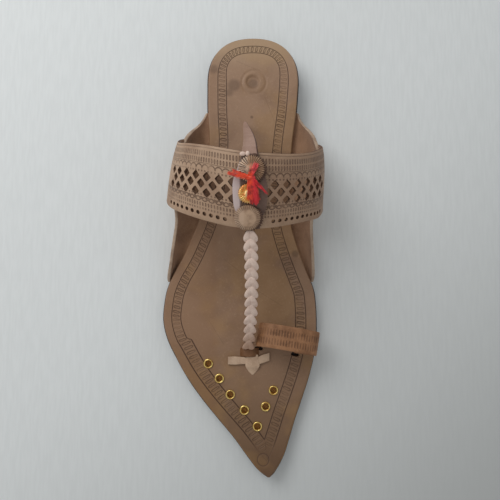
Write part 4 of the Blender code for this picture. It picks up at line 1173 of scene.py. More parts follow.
# %% Band, cut flat and bent
BAND_PANELS = 150
BAND_ROWS = 17
middle = float(band_station(BAND_WIDTH / 2, 0.0))
lateral_half = float(shell.ridge(middle)) - FLANGE - BAND_END
medial_half = float(shell.length(middle) - shell.ridge(middle)) - FLANGE - BAND_END
half = max(lateral_half, medial_half)
long_way = np.linspace(-half, half, BAND_PANELS)
top_y = np.linspace(0.0007, BAND_WIDTH - 0.0007, BAND_ROWS)
profile = np.vstack([
    np.column_stack([top_y, np.full(BAND_ROWS, WALL)]),
    ((BAND_WIDTH - 0.0002, WALL - 0.0002), (BAND_WIDTH, WALL - 0.0007), (BAND_WIDTH, 0.0003)),
    np.column_stack([top_y[::-1], np.zeros(BAND_ROWS)]),
    ((0.0, 0.0003), (0.0, WALL - 0.0007), (0.0002, WALL - 0.0002)),
])
rings = np.concatenate([
    np.broadcast_to(long_way[:, None, None], (BAND_PANELS, len(profile), 1)),
    np.broadcast_to(profile[None], (BAND_PANELS, len(profile), 2)),
], -1)
band_mesh = cut(skin("band", rings), prisms(punches, -0.001, 0.004))
flat_points = corners_of(band_mesh)
write_uv(band_mesh, "Pattern", flat_points[:, :2] * 1000)
normals = np.empty(len(band_mesh.polygons) * 3)
band_mesh.polygons.foreach_get("normal", normals)
rise = normals.reshape(-1, 3)[:, 2]
station = band_station(flat_points[:, 1], flat_points[:, 0])
ridge = shell.ridge(station)
reach = np.where(flat_points[:, 0] < 0, ridge, shell.length(station) - ridge)
distance = ridge + flat_points[:, 0] / half * (reach - FLANGE - BAND_END)
bent = shell.at(station, distance, flat_points[:, 2])
band_mesh.vertices.foreach_set("co", bent.ravel())
piece(band_mesh, "instep_band", [band_finish, flesh_finish, shaded_wall_finish], ["upper"])
sort = np.where(rise > 0.5, 0, np.where(rise < -0.5, 1, 2)).astype(np.int32)
band_mesh.polygons.foreach_set("material_index", sort)

# %% [markdown]
# ## Side ears
# An ear is a wing of leather that rises from the sole and is sewn under the band. Its upper
# edge swings down behind and in front of the band. The rings go up the outside, over a
# rounded cut edge and down the inside, where the rough flesh side shows.

# %% Ears
LAP = 0.0008
EAR_REACH = 0.0480
EAR_EDGE = np.array((
    (0.000, 0.045), (0.035, 0.090), (0.060, 0.155), (0.080, 0.235), (0.100, 0.360), (0.120, 0.470),
    (0.150, 0.560), (0.210, 0.720), (0.300, 0.800), (0.400, 0.720), (0.480, 0.600), (0.590, 0.455),
    (0.720, 0.380), (0.845, 0.298), (0.930, 0.205), (1.000, 0.050),
))
EAR_COUNT = 150
EAR_ROWS = 22


def make_ear(name, side):
    """One ear: distances from the flange to the edge's curve, lifted onto the lap, with the
    thickness taken inwards and the rim rounded as a half superellipse."""
    share = np.linspace(0, 1, EAR_COUNT)
    station = (EAR_REAR_STATION + (EAR_FRONT_STATION - EAR_REAR_STATION) * share)[:, None]
    reach = EAR_REACH * through(EAR_EDGE[:, 0], EAR_EDGE[:, 1], share)[:, None]
    rows = np.linspace(0, 1, EAR_ROWS)**1.15
    outer = np.hstack([np.full((EAR_COUNT, 1), 0.02 * FLANGE), FLANGE + reach * rows])
    turn = np.linspace(0, math.pi, 7)[1:-1]
    rim = outer[:, -1:] + 0.0006 * np.sin(turn)
    distance = np.hstack([outer, rim, outer[:, ::-1]])
    sheet = LAP * ease(distance / FLANGE - 0.8)
    depth = np.concatenate([
        np.zeros(outer.shape[1]), -WALL * (1 - np.cos(turn)) / 2, np.full(outer.shape[1], -WALL)])
    along = distance if side < 0 else shell.length(station) - distance
    rings = shell.at(np.broadcast_to(station, distance.shape), along, sheet + depth)
    mesh = skin(name, rings)
    count = distance.shape[1]
    spans = np.tile(np.arange(count), EAR_COUNT - 1)
    face = np.where(spans < outer.shape[1] - 1, 0, np.where(spans < outer.shape[1] + 5, 2, 1))
    sort = np.concatenate([face, np.full(2 * count, 2)]).astype(np.int32)
    pattern = np.stack([np.broadcast_to(station * 300, distance.shape), np.full(distance.shape, 20.0)], -1)
    write_uv(mesh, "Pattern", np.vstack([pattern.reshape(-1, 2), [[0, 20], [0, 20]]]))
    piece(mesh, name, [ear_finish, flesh_finish, cut_finish], ["upper"])
    mesh.polygons.foreach_set("material_index", sort)


ear_finish = plain_leather("ear_leather", (140, 114, 94), (114, 90, 72), (160, 134, 112), 0.6, 45.0,
                           800.0, 0.0004)
make_ear("ear_lateral", -1)
make_ear("ear_medial", 1)

# %% [markdown]
# ## Straps carried along a path
# Centre strap, braid, toe loop and toggle are all a flat rounded section carried along a
# line. A superellipse with a high power is a strap with soft corners, and with a low power a
# round cord.


# %% Sweep
def sweep(path, side, normal, width, thick, power=5.0, count=20, base=0.0):
    """Rings of a superellipse |a/w|^p + |b/t|^p = 1 carried along a path, in the plane of the
    side and the normal. base moves the section up by a share of its half thickness."""
    section = rounded(0.5, 0.5, power, count)
    wide = np.broadcast_to(width, len(path))[:, None, None]
    deep = np.broadcast_to(thick, len(path))[:, None, None]
    return (path[:, None] + side[:, None] * section[None, :, :1] * wide
            + normal[:, None] * (section[None, :, 1:] + base / 2) * deep)


def tangents(path):
    return unit(np.gradient(path, axis=0))


# %% Centre strap with its tail
STRAP_THICK = 0.0018
TAIL_TIP_WIDTH = 0.0016
TAIL_CLEAR = 0.0040
TAIL_RUN = 0.0352
TAIL_SWAY = -0.0034
STRAP_SHAPE = np.array((
    (0.00, 0.56), (0.15, 0.66), (0.32, 0.94), (0.45, 1.00), (0.62, 0.97), (0.76, 0.74), (0.90, 0.52),
    (1.00, 0.45)))


def strap_width(front):
    """Width of the strap over the band: widest under the gilt disc, narrow at both edges."""
    return STRAP_WIDTH * through(STRAP_SHAPE[:, 0], STRAP_SHAPE[:, 1], front / BAND_WIDTH)


top = crest(BAND_WIDTH, 0.0, GAP)
along = unit(top - crest(BAND_WIDTH * 0.9, 0.0, GAP))
up = np.array((0.0, -along[2], along[1]))
fold = top + along * 3 * GAP
hem = fold + along * 3 * GAP - up * WALL
tip_y = hem[1] + TAIL_RUN
tip = np.array((hem[0] + TAIL_SWAY, tip_y, insole_top(station_at(tip_y)) + TAIL_CLEAR))
run = hem - tip
tail_knots = (
    tip, tip + (run[0] * 0.2, run[1] * 0.32, run[2] * 0.38), hem - (0.0, run[1] * 0.32, run[2] * 0.22),
    hem)
tail_path = np.vstack([bezier(tail_knots, np.linspace(0, 1, 26)), fold])
way = tangents(tail_path)
share = np.linspace(0, 1, len(tail_path))
tail_width = TAIL_TIP_WIDTH + (strap_width(BAND_WIDTH) - TAIL_TIP_WIDTH) * share**0.8
tail_normal = unit(np.column_stack([np.zeros(len(way)), way[:, 2], -way[:, 1]]))
across = np.repeat([[1.0, 0.0, 0.0]], len(way), 0)
tail_rings = sweep(tail_path, across, tail_normal, tail_width, STRAP_THICK, 6.0, 24, 1.0)
front = (np.linspace(0.97, 0.02, 60) * BAND_WIDTH)[:, None]
section = rounded(0.5, 0.5, 6.0, 24)
strap_rings = crest(front, section[None, :, 0] * strap_width(front),
                    GAP + STRAP_THICK * (section[None, :, 1] + 0.5))
tail_mesh = skin("strap_tail", np.concatenate([tail_rings, strap_rings[:1]]))
pattern = np.stack(np.broadcast_arrays(
    section[None, :, 0], np.linspace(0, 1, len(tail_rings) + 1)[:, None]), -1).reshape(-1, 2)
write_uv(tail_mesh, "Pattern", np.vstack([pattern, [[0, 0], [0, 1]]]))
piece(tail_mesh, "strap_tail", [tail_finish], ["centre_strap"])
piece(skin("centre_strap", strap_rings), "strap_over_band", [strap_shade_finish], ["centre_strap"])

# %% [markdown]
# ## Pinched ends
# Where the tail passes under the band's rear edge, the ends of the thong that holds it are
# pinched to small lumps: two pale ones and a dark one. Each is a ball flattened three ways.

# %% Pinched ends at the band's rear edge
lump_rows = np.linspace(0.04, math.pi - 0.04, 12)[:, None]
lump_turn = np.linspace(0, TURN, 18, endpoint=False)[None]
lump_shape = np.stack([
    np.sin(lump_rows) * np.cos(lump_turn), np.sin(lump_rows) * np.sin(lump_turn),
    np.cos(lump_rows) * np.ones_like(lump_turn)], -1)
lumps = (
    ("pinch_lateral", 0.0392, -0.0036, (0.0017, 0.0013, 0.0010), pale_finish),
    ("pinch_middle", 0.0396, -0.0012, (0.0012, 0.0015, 0.0010), pale_finish),
    ("pinch_medial", 0.0390, 0.0022, (0.0020, 0.0012, 0.0008), under_finish),
)
for name, front_at, across_at, size, finish in lumps:
    centre = crest(front_at, across_at, GAP + STRAP_THICK + 0.0002)
    piece(skin(name, centre + lump_shape * np.array(size)), name, [finish])

# %% [markdown]
# ## Braid
# Below the band the strap is a chain of links: each pair of legs leaves the middle, swings
# out to both sides and turns back in under the next pair, so from above every link is a
# heart with its point towards the heel. One leg is a line in four columns, and the whole
# chain is that line times the number of links, times two sides.

# %% Braid
BRAID_FOOT = (-0.0320 * BALL_WIDTH, 0.7183)
THONG_THICK = 0.0024
BRAID_BOW = 0.0014
LINKS = 13
LINK_LONG = (0.0049, 0.0058)
LINK_HALF = (0.0037, 0.0036)
LEG_WIDTH = 0.0042
LEG_THICK = 0.0021
LEG_LIFT = 0.0011
CORE_WIDTH = 0.0058
CORE_THICK = 0.0018
LEG_LINE = np.array((
    (0.00, 0.00, -0.40, 0.20), (0.14, 0.06, -0.24, 1.00), (0.36, 0.24, 0.10, 1.25),
    (0.58, 0.50, 0.50, 1.00), (0.76, 0.54, 0.80, 0.50), (0.90, 0.38, 0.94, -0.20), (1.00, 0.18, 1.00, -0.70),
))
foot_y = station_y(BRAID_FOOT[1])
foot = np.array((BRAID_FOOT[0], foot_y, insole_top(BRAID_FOOT[1]) + THONG_THICK * 0.6))
top = crest(0.0, 0.0, GAP)
along = unit(top - crest(BAND_WIDTH * 0.1, 0.0, GAP))
start = top + along * WALL * 0.7
span = start - foot
braid_knots = (start, start + along * span[1] * 0.30, foot + (0.0, span[1] * 0.22, span[2] * 0.46), foot)
braid_path = bezier(braid_knots, np.linspace(0, 1, 260))
braid_path[:, 0] += BRAID_BOW * np.sin(np.linspace(0, math.pi, 260))
braid_along = length_along(braid_path)
braid_long = float(braid_along[-1])
way = tangents(braid_path)
braid_up = unit(np.column_stack([np.zeros(len(way)), -way[:, 2], way[:, 1]]))
braid_up *= np.sign(braid_up[:, 2:])
across = np.repeat([[1.0, 0.0, 0.0]], len(way), 0)
# Painted shade: the core is dark leather, so that the gaps between the links read dark.
core = sweep(braid_path, across, braid_up, CORE_WIDTH, CORE_THICK, 4.0, 16)
piece(skin("braid_core", core), "braid_core", [under_finish], ["centre_strap"])

# %% Links of the braid
link_ends = np.concatenate([[0.0], np.cumsum(np.linspace(*LINK_LONG, LINKS))])
link_y = braid_path[0, 1] + (braid_path[-1, 1] - braid_path[0, 1]) * link_ends / link_ends[-1]
link_along = np.interp(-link_y, -braid_path[:, 1], braid_along)
link_start = link_along[:-1, None, None]
link_long = np.diff(link_along)[:, None, None]
link_half = np.linspace(*LINK_HALF, LINKS)[:, None, None]
t = np.linspace(0, 1, 26)
mark, out, on, raised = LEG_LINE.T
side = np.array((-1.0, 1.0))[None, :, None]
uneven = 1 + 0.07 * np.sin(np.arange(LINKS)[:, None, None] * 2.4 + side)
leg_out = side * link_half * uneven * through(mark, out, t)
leg_on = link_start + link_long * through(mark, on, t) + np.zeros((LINKS, 2, 1))
leg_up = through(mark, raised, t) * LEG_LIFT + np.zeros((LINKS, 2, 1)) + side * 0.0001


def along_braid(table, at):
    """Rows of a table read at distances along the braid."""
    return np.stack([np.interp(at, braid_along, table[:, i]) for i in range(3)], -1)


leg_normal = along_braid(braid_up, leg_on)
lines = along_braid(braid_path, leg_on) + np.array((1.0, 0.0, 0.0)) * leg_out[..., None]
lines = (lines + leg_normal * leg_up[..., None]).reshape(-1, len(t), 3)
leg_way = unit(np.gradient(lines, axis=1))
leg_side = unit(np.cross(leg_way, leg_normal.reshape(lines.shape)))
leg_normal = np.cross(leg_side, leg_way)
section = rounded(0.5, 0.5, 2.4, 14)
slim = through((0, 0.2, 0.45, 0.75, 1), (0.62, 0.72, 0.92, 1.0, 0.7), t)[None, :, None, None]
legs = (lines[:, :, None] + leg_side[:, :, None] * section[:, :1] * LEG_WIDTH * slim
        + leg_normal[:, :, None] * section[:, 1:] * LEG_THICK * slim)
piece(many_tubes("braid_links", legs), "braid_links", [braid_finish], ["centre_strap"])
print("braid length", round(braid_long * 1000, 1), "mm", LINKS, "links")

# %% [markdown]
# ## Toe loop
# A short strap stands up in two slits of the insole, round the big toe. It is stamped with
# two rows of the same dashes as the band, read from a UV map along the strap.

# %% Finish: toe loop
loop_finish, tree, shader, place, flat, skin_out = leather(
    "loop_leather", (138, 100, 72), (108, 76, 54), (160, 122, 92), 160.0, 900.0, 0.55, "Pattern")
dashes = [
    tree.group(dash_row, {
        "Along": flat["X"], "Across": flat["Y"], "Centre": centre, "Length": 4.2,
        "Pitch": DASH_PITCH, "Width": 0.8, "Slant": 0.04})["Mask"]
    for centre in (-3.3, 2.4)
]
struck = tree.most(*dashes)
worn = tree.step(tree.noise(place, 160.0, 3.0), 0.30, 0.62, 0.4, 1.0)
struck = tree.math("MULTIPLY", struck, worn)
colour = tree.mix(tree.math("MULTIPLY", struck, 0.60), skin_out["Colour"], tone(78, 54, 40))
relief = tree.math("MULTIPLY_ADD", struck, -0.9, tree.math("MULTIPLY", skin_out["Height"], 0.3))
dress(tree, shader, colour, skin_out, relief, 0.9, 0.0004)

# %% Toe loop
LOOP_HEIGHT = 0.0215
LOOP_CURVE = np.array((
    (-1.00, 0.00), (-1.09, 0.25), (-1.13, 0.58), (-0.78, 0.90), (0.10, 1.00),
    (1.10, 0.95), (1.85, 0.72), (1.90, 0.42), (1.40, 0.18), (1.00, 0.00),
))
marks = np.arange(len(LOOP_CURVE))
reads = np.linspace(0, marks[-1], 110)
loop_x = through(marks, LOOP_CURVE[:, 0], reads) * LOOP_SPAN / 2
loop_z = through(marks, LOOP_CURVE[:, 1], reads) * LOOP_HEIGHT
ends = LOOP_SPAN / 2
loop_x = np.concatenate([[-ends, -ends], loop_x, [ends, ends]])
loop_z = np.concatenate([[-0.0030, -0.0012], loop_z, [-0.0012, -0.0030]])
loop_base = float(insole_top(LOOP_STATION))
lean = LOOP_LEAN * loop_z.clip(0, None)
loop_path = np.column_stack([
    loop_centre[0] + loop_axis[0] * loop_x + loop_cross[0] * lean,
    loop_centre[1] + loop_axis[1] * loop_x + loop_cross[1] * lean, loop_base + loop_z])
way = tangents(loop_path)
side = np.repeat([[loop_cross[0], loop_cross[1], 0.0]], len(way), 0)
normal = unit(np.cross(side, way))
rings = sweep(loop_path, side, normal, LOOP_WIDTH, LOOP_THICK, 7.0, 28)
loop_mesh = skin("toe_loop", rings)
loop_along = length_along(loop_path) * 1000
section = rounded(0.5, 0.5, 7.0, 28)
pattern = np.stack(np.broadcast_arrays(
    loop_along[:, None], section[None, :, 0] * LOOP_WIDTH * 1000), -1).reshape(-1, 2)
write_uv(loop_mesh, "Pattern", np.vstack([pattern, pattern[:1], pattern[-1:]]))
piece(loop_mesh, "loop_strap", [loop_finish], ["toe_loop"])

# %% [markdown]
# ## Thong end, toggle and bridge
# The braid's end goes under a bridge cut in the insole and ends in a kite-shaped tongue, laid
# over a rolled strip of leather that keeps it from slipping back.

# %% Thong end and toggle
KNOT = (-0.0047 * BALL_WIDTH, float(station_y(0.7450)))
KITE_ROOT = 0.0040
KITE_WIDTH = 0.0095
KITE_LENGTH = 0.0135
TOGGLE_LENGTH = 0.0280
TOGGLE_WIDTH = 0.0060
TOGGLE_THICK = 0.0016
TOGGLE_SHIFT = 0.0026
TOGGLE_BEND = math.radians(20.0)
knot_base = float(insole_top(0.7450))
share = np.linspace(0, 1, 24)
kite_rows = ((0.0, 0.80, 1.0), (0.30, 0.92, 1.0), (0.58, 1.0, 1.0), (0.78, 0.72, 0.3), (1.0, 0.14, 0.0))
kite_marks, kite_wide, kite_raised = np.array(kite_rows).T
kite_path = np.column_stack([
    np.full(24, KNOT[0]), KNOT[1] + KITE_ROOT - share * KITE_LENGTH,
    knot_base + GAP + (GAP + TOGGLE_THICK) * through(kite_marks, kite_raised, share).clip(0, 1)])
way = tangents(kite_path)
side = np.repeat([[1.0, 0.0, 0.0]], 24, 0)
width = KITE_WIDTH * through(kite_marks, kite_wide, share)
rings = sweep(kite_path, side, unit(np.cross(way, side)) * -1.0, width, STRAP_THICK, 6.0, 24, 1.0)
piece(skin("thong_tongue", rings), "thong_tongue", [kite_finish], ["thong_end"])

share = np.linspace(-1, 1, 40)
toggle_x = share * TOGGLE_LENGTH / 2 - TOGGLE_SHIFT
toggle_y = (toggle_x - KITE_ROOT).clip(0, None) * math.tan(TOGGLE_BEND)
toggle_path = np.column_stack([
    KNOT[0] + toggle_x, KNOT[1] + toggle_y, np.full(40, knot_base + GAP)])
toggle_wide = through((-1, -0.7, -0.3, 0.3, 0.7, 1), (0.86, 0.92, 0.80, 0.80, 0.94, 0.90), share)
rings = sweep(toggle_path, np.repeat([[0.0, 1.0, 0.0]], 40, 0), np.repeat([[0.0, 0.0, 1.0]], 40, 0),
              toggle_wide * TOGGLE_WIDTH, TOGGLE_THICK, 5.0, 24, 1.0)
piece(skin("toggle_roll", rings), "toggle_roll", [kite_finish], ["thong_toggle"])

# %% Bridge over the thong
BRIDGE_SPAN = (-0.0084, 0.0033)
BRIDGE_Y = -0.1810
BRIDGE_WIDTH = 0.0058
BRIDGE_RISE = 0.0032
BRIDGE_THICK = 0.0015
BRIDGE_SINK = 0.0006
share = np.linspace(-1, 1, 30)
bridge_x = np.interp(share, (-1, 1), BRIDGE_SPAN)
bridge_z = float(insole_top(station_at(BRIDGE_Y))) + BRIDGE_RISE * (1 - np.abs(share)**3.0) - BRIDGE_SINK
bridge_path = np.column_stack([bridge_x, np.full(30, BRIDGE_Y), bridge_z])
way = tangents(bridge_path)
side = np.repeat([[0.0, 1.0, 0.0]], 30, 0)
rings = sweep(bridge_path, side, unit(np.cross(side, way)), BRIDGE_WIDTH, BRIDGE_THICK, 5.0, 20)
piece(skin("thong_bridge", rings), "thong_bridge", [bridge_finish])

# %% [markdown]
# ## Rosettes and gilt disc
# Three round ornaments sit on the strap. A rosette is a disc of leather with a serrated rim,
# and the gilt disc is stamped sheet with flutes. Each is a height over a radius and an
# angle, so the teeth and flutes are one wave round the axis.


# %% Round ornaments
def crest_axes(front, across, lift):
    """Centre and axes of an ornament that lies on the centre strap."""
    centre = crest(front, across, lift)
    back = unit(crest(front + 0.002, across, lift) - centre)
    x_axis = np.array((1.0, 0.0, 0.0))
    return centre, np.stack([x_axis, back, np.cross(x_axis, back)])


def disc(name, at, radius, rows, teeth, tooth, flute, turns, finishes, node, lift=0.0):
    """A disc of rings about its axis. Each row gives a radius share, a height and how much
    of the wave it takes; the wave is a cosine of the angle with the given count of teeth."""
    centre, axes = crest_axes(*at, 2 * GAP + STRAP_THICK + lift)
    turn = np.linspace(0, TURN, turns, endpoint=False)[None]
    share, height, take = np.array(rows).T[:, :, None]
    wave = np.cos(teeth * turn)
    r = radius * share * (1 - tooth * take * (1 - wave) / 2)
    z = height - flute * take * (1 - wave) / 2 * (height > 0)
    local = np.stack([r * np.cos(turn), r * np.sin(turn), np.broadcast_to(z, r.shape)], -1)
    mesh = skin(name, centre + local @ axes)
    write_uv(mesh, "Pattern", np.vstack([local[..., :2].reshape(-1, 2) / radius, np.zeros((2, 2))]))
    return piece(mesh, name, finishes, [node], angle=60.0)


# %% Finish: rosettes
def rayed_leather(name, base, dark, pale, rays, inner, cream):
    """Leather with fine rays: a cosine of the angle round the disc's middle, kept where the
    share of the radius is past the inner one, pressed in and darkened as painted shade. The
    lateral third is paler, towards cream."""
    mat, tree, shader, place, flat, out = leather(name, base, dark, pale, 260.0, 1500.0, 0.68, "Pattern")
    angle = tree.math("ARCTAN2", flat["Y"], flat["X"])
    squares = tree.math("MULTIPLY_ADD", flat["X"], flat["X"], tree.math("MULTIPLY", flat["Y"], flat["Y"]))
    far = tree.math("SQRT", squares)
    ray = tree.step(tree.math("COSINE", tree.math("MULTIPLY", angle, rays)), -0.2, 0.8)
    ray = tree.math("MULTIPLY", ray, tree.step(far, inner, inner + 0.12))
    lateral = tree.step(flat["X"], -0.42, -0.12, cream, 0.0)
    colour = tree.mix(lateral, out["Colour"], tone(214, 194, 174))
    groove_shade = tree.math("MULTIPLY", ray, tree.math("MULTIPLY_ADD", lateral, 0.4, 0.45))
    colour = tree.mix(groove_shade, colour, tone(88, 66, 54))
    relief = tree.math("MULTIPLY_ADD", ray, -0.6, out["Height"])
    dress(tree, shader, colour, out, relief, 0.9, 0.0005)
    return mat


rosette_finish = rayed_leather(
    "rosette_leather", (168, 141, 118), (138, 112, 92), (188, 163, 142), 36.0, 0.60, 0.15)
fringe_finish = rayed_leather(
    "fringe_leather", (174, 144, 118), (142, 114, 92), (198, 172, 148), 30.0, 0.34, 0.85)

# %% Finish: metals
def metal(name, roughness, detail, dull_from, bright, dull, rubbed):
    """A metal with tarnish: a fine noise mixes bright and dull and varies the roughness."""
    mat, tree, shader = new_finish(name, roughness, Metallic=1.0)
    place = tree.add("ShaderNodeTexCoord", {}, "Object")
    tarnish = tree.noise(place, 500.0, detail)
    tree.feed(shader["Base Color"], tree.mix(tree.step(tarnish, dull_from, 0.7), tone(*bright), tone(*dull)))
    tree.feed(shader["Roughness"], tree.step(tarnish, 0.3, 0.7, *rubbed))
    return mat


gilt_finish = metal("gilt_metal", 0.30, 2.0, 0.35, (240, 192, 142), (218, 160, 108), (0.26, 0.38))
brass_finish = metal("brass", 0.25, 3.0, 0.40, (224, 192, 122), (172, 136, 78), (0.18, 0.40))

# %% Ornaments on the strap
ROSETTE_DIAMETER = 0.0150
ROSETTE_HEIGHT = 0.0022
GOLD_DIAMETER = 0.0119
rosette_rows = (
    (0.96, 0.0, 1.0), (0.99, 0.0004, 1.0), (1.0, 0.0008, 1.0), (0.97, 0.0012, 1.0), (0.90, 0.0015, 1.0),
    (0.75, 0.0017, 0.8), (0.55, 0.0019, 0.4), (0.30, 0.0019, 0.0), (0.12, 0.0020, 0.0), (0.02, 0.0020, 0.0),
)
under_rows = (
    (0.96, -0.0002, 1.0), (1.0, 0.0, 1.0), (1.0, 0.0004, 1.0), (0.94, 0.0006, 1.0), (0.02, 0.0006, 0.0))
for end, under_at in (("front", (0.0074, 0.0002)), ("rear", (0.0319, 0.0020))):
    disc("rosette_under_" + end, under_at, ROSETTE_DIAMETER / 2, under_rows, 30, 0.13, 0.0, 240,
         [under_finish], "rosette_" + end, -0.0001)
disc("rosette_disc_front", (0.0076, -0.0013), ROSETTE_DIAMETER / 2, rosette_rows, 44, 0.06, 0.0003, 352,
     [rosette_finish], "rosette_front")
fringe_rows = (
    (0.96, 0.0, 1.0), (1.0, 0.0003, 1.0), (1.0, 0.0009, 1.0), (0.93, 0.0014, 1.0), (0.80, 0.0017, 1.0),
    (0.62, 0.0019, 1.0), (0.45, 0.0020, 0.8), (0.30, 0.0019, 0.3), (0.14, 0.0021, 0.0), (0.02, 0.0022, 0.0),
)
disc("rosette_disc_rear", (0.0322, 0.0006), ROSETTE_DIAMETER / 2, fringe_rows, 40, 0.09, 0.0006, 320,
     [fringe_finish], "rosette_rear")
gold_rows = (
    (0.97, 0.0, 1.0), (1.0, 0.0004, 1.0), (0.98, 0.0008, 1.0), (0.90, 0.0013, 1.0), (0.78, 0.0014, 1.0),
    (0.60, 0.0013, 1.0), (0.42, 0.0012, 0.5), (0.30, 0.0012, 0.0), (0.22, 0.0015, 0.0), (0.03, 0.0015, 0.0),
)
disc("gilt_disc", (0.0203, -0.0007), GOLD_DIAMETER / 2, gold_rows, 26, 0.05, 0.0008, 312,
     [gilt_finish], "gold_disc")

# %% [markdown]
# ## Tassel
# A knot of red thread is tied between the rosettes and spreads in a few locks. Each lock is
# a bunch of fine tubes: they leave the knot together, arch a little, and end fanned out. All
# the tubes of the tassel are one array and one mesh.

# %% Tassel
TASSEL_AT = 0.0282
TASSEL_ACROSS = 0.0004
KNOT_DIAMETER = 0.0036
TASSEL_SEAT = 0.84
LOCKS = (
    (-0.0103, 0.0290, 0.0007, 40), (-0.0080, 0.0303, 0.0008, 24), (0.0030, 0.0345, 0.0010, 44),
    (0.0012, 0.0338, 0.0010, 14), (-0.0006, 0.0180, 0.0007, 60), (0.0010, 0.0162, 0.0008, 110),
    (0.0030, 0.0160, 0.0008, 110), (0.0042, 0.0180, 0.0006, 50), (0.0079, 0.0212, 0.0006, 14),
)
THREAD_RADIUS = 0.00015
rng = np.random.default_rng(12)
knot_lift = 3 * GAP + STRAP_THICK + TASSEL_SEAT * ROSETTE_HEIGHT
starts = []
ends = []
for across, front, spread, count in LOCKS:
    jitter = rng.normal(size=(count, 2)) * spread * 0.6
    ends.append(np.column_stack([across + jitter[:, 0], front + jitter[:, 1]]))
    starts.append(rng.normal(size=(count, 2)) * 0.00055 + (TASSEL_ACROSS, TASSEL_AT))
starts = np.concatenate(starts)
ends = np.concatenate(ends)
threads = len(starts)
t = np.linspace(0, 1, 12)[None]
bow = rng.normal(size=(threads, 1)) * 0.00035 * np.sin(math.pi * t)
across = starts[:, :1] + (ends - starts)[:, :1] * t + bow
front = starts[:, 1:] + (ends - starts)[:, 1:] * t + bow * 0.6
stack = rng.uniform(0.0002, 0.0016, (threads, 1))
lift = knot_lift + stack * (1 - 0.45 * t) + 0.0011 * np.sin(math.pi * t**0.8)
paths = crest(front, across, lift)
way = unit(np.gradient(paths, axis=1))
upward = np.array((0.0, 0.0, 1.0))
side = unit(np.cross(way, upward))
normal = np.cross(side, way)
turn = np.linspace(0, TURN, 5, endpoint=False)
radius = THREAD_RADIUS * (1 - 0.5 * t**3)[..., None, None]
turn = turn[:, None]
tubes = paths[:, :, None] + radius * (side[:, :, None] * np.cos(turn) + normal[:, :, None] * np.sin(turn))

# %% Finish: thread
thread_finish, tree, shader = new_finish("red_thread", 0.42, Sheen_Weight=0.4)
place = tree.add("ShaderNodeTexCoord", {}, "Object")
hank = tree.noise(place, 260.0, 2.0)
warm = tree.mix(tree.step(tree.split(place)["X"], -0.0028, 0.0004), tone(226, 76, 40), tone(200, 50, 56))
tree.feed(shader["Base Color"], tree.mix(tree.step(hank, 0.45, 0.70), warm, tone(150, 34, 36)))
tree.feed(shader["Roughness"], tree.step(hank, 0.3, 0.7, 0.32, 0.55))
piece(many_tubes("tassel_threads", tubes), "tassel_threads", [thread_finish], ["tassel"])

# %% Knot of the tassel
knot_centre = crest(TASSEL_AT, TASSEL_ACROSS, knot_lift + KNOT_DIAMETER * 0.30)
rows = np.linspace(0.02, math.pi - 0.02, 15)[:, None]
turn = np.linspace(0, TURN, 28, endpoint=False)[None]
coil = 1 + 0.07 * np.cos(rows * 16 + turn)
ball = KNOT_DIAMETER / 2 * np.stack([
    1.25 * np.sin(rows) * np.cos(turn) * coil, 0.9 * np.sin(rows) * np.sin(turn) * coil,
    0.75 * np.cos(rows) * np.ones_like(turn)], -1)
piece(skin("tassel_knot", knot_centre + ball), "tassel_knot", [thread_finish], ["tassel"])

# %% [markdown]
# ## Eyelets
# Seven brass eyelets are set in a V at the toe. An eyelet is turned: one closed profile, with
# its rolled flange, carried round the axis of its hole.

# %% Eyelets
EYELET_RISE = 0.0008
eyelet_profile = np.array((
    (EYELET_BORE / 2, -INSOLE_THICK * 0.8), (EYELET_BARREL / 2, -INSOLE_THICK * 0.8),
    (EYELET_BARREL / 2, GAP * 0.4), (EYELET_FLANGE / 2 * 0.96, GAP * 0.4),
    (EYELET_FLANGE / 2, GAP + 0.0002), (EYELET_FLANGE / 2 * 0.97, GAP + 0.0005),
    (EYELET_FLANGE / 2 * 0.90, GAP + 0.0007), (EYELET_FLANGE / 2 * 0.82, GAP + EYELET_RISE),
    (EYELET_FLANGE / 2 * 0.74, GAP + 0.0007), (EYELET_BORE / 2 * 1.03, GAP + 0.0004),
    (EYELET_BORE / 2, GAP),
))
turn = np.linspace(0, TURN, 40, endpoint=False)[:, None]
radius, height = eyelet_profile.T[:, None]
for number, (centre_x, centre_y) in enumerate(zip(eyelet_x, eyelet_y)):
    base = float(insole_top(station_at(centre_y)))
    rings = np.stack([
        centre_x + radius * np.cos(turn), centre_y + radius * np.sin(turn),
        np.broadcast_to(base + height, (40, len(eyelet_profile)))], -1)
    name = f"eyelet_ring_{number + 1}"
    piece(skin(name, rings, wrap=True), name, [brass_finish], [f"eyelet_{number + 1}"], angle=50.0)

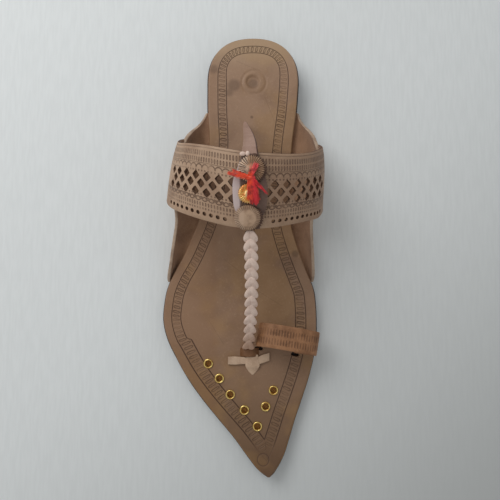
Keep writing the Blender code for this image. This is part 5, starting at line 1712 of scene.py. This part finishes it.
# %% [markdown]
# ## Floor and light
# A pale floor, a large soft window light from the upper left and a dim even sky: the sandal
# gets a soft shadow on its right.

# %% Floor
FLOOR_HALF = 1.6
floor_mesh = bpy.data.meshes.new("floor")
floor_mesh.from_pydata(
    [(-FLOOR_HALF, -FLOOR_HALF, 0), (FLOOR_HALF, -FLOOR_HALF, 0), (FLOOR_HALF, FLOOR_HALF, 0),
     (-FLOOR_HALF, FLOOR_HALF, 0)], [], [(0, 1, 2, 3)])
floor = bpy.data.objects.new("floor", floor_mesh)
bpy.context.scene.collection.objects.link(floor)
floor_finish, tree, shader = new_finish("floor_paint", 0.7)
place = tree.add("ShaderNodeTexCoord", {}, "Object")
streaks = tree.noise(tree.vector("MULTIPLY", place, (500.0, 60.0, 1.0)), 1.0, 3.0)
paint = tree.mix(tree.step(streaks, 0.3, 0.7), tone(195, 198, 198), tone(199, 202, 202))
corner = tree.vector("DOT_PRODUCT", place, (0.62, -0.78, 0.0), 1)
# The floor is toned darker towards its lower right, where the photo's light falls off.
dim = tree.step(corner, 0.04, 0.42)
tree.feed(shader["Base Color"], tree.mix(dim, paint, tone(150, 152, 151)))
floor_mesh.materials.append(floor_finish)

# %% Lights
WINDOW_AT = (-0.42, 0.36, 0.64)
window_data = bpy.data.lights.new("window", "AREA")
window_data.shape = "RECTANGLE"
window_data.size = 0.60
window_data.size_y = 0.45
window_data.energy = 3.2
window_data.color = (1.0, 1.0, 1.0)
window = bpy.data.objects.new("window", window_data)
window.location = WINDOW_AT
aim = np.array(AIM) - np.array(WINDOW_AT)
window.rotation_euler = (
    math.acos(-aim[2] / np.linalg.norm(aim)), 0.0, math.atan2(aim[1], aim[0]) - math.pi / 2)
bpy.context.scene.collection.objects.link(window)
world = bpy.data.worlds.new("room")
bpy.context.scene.world = world
world.use_nodes = True
world.node_tree.nodes["Background"].inputs["Color"].default_value = (0.99, 1.0, 1.0, 1.0)
world.node_tree.nodes["Background"].inputs["Strength"].default_value = 0.45
bpy.context.scene.view_settings.view_transform = "Standard"
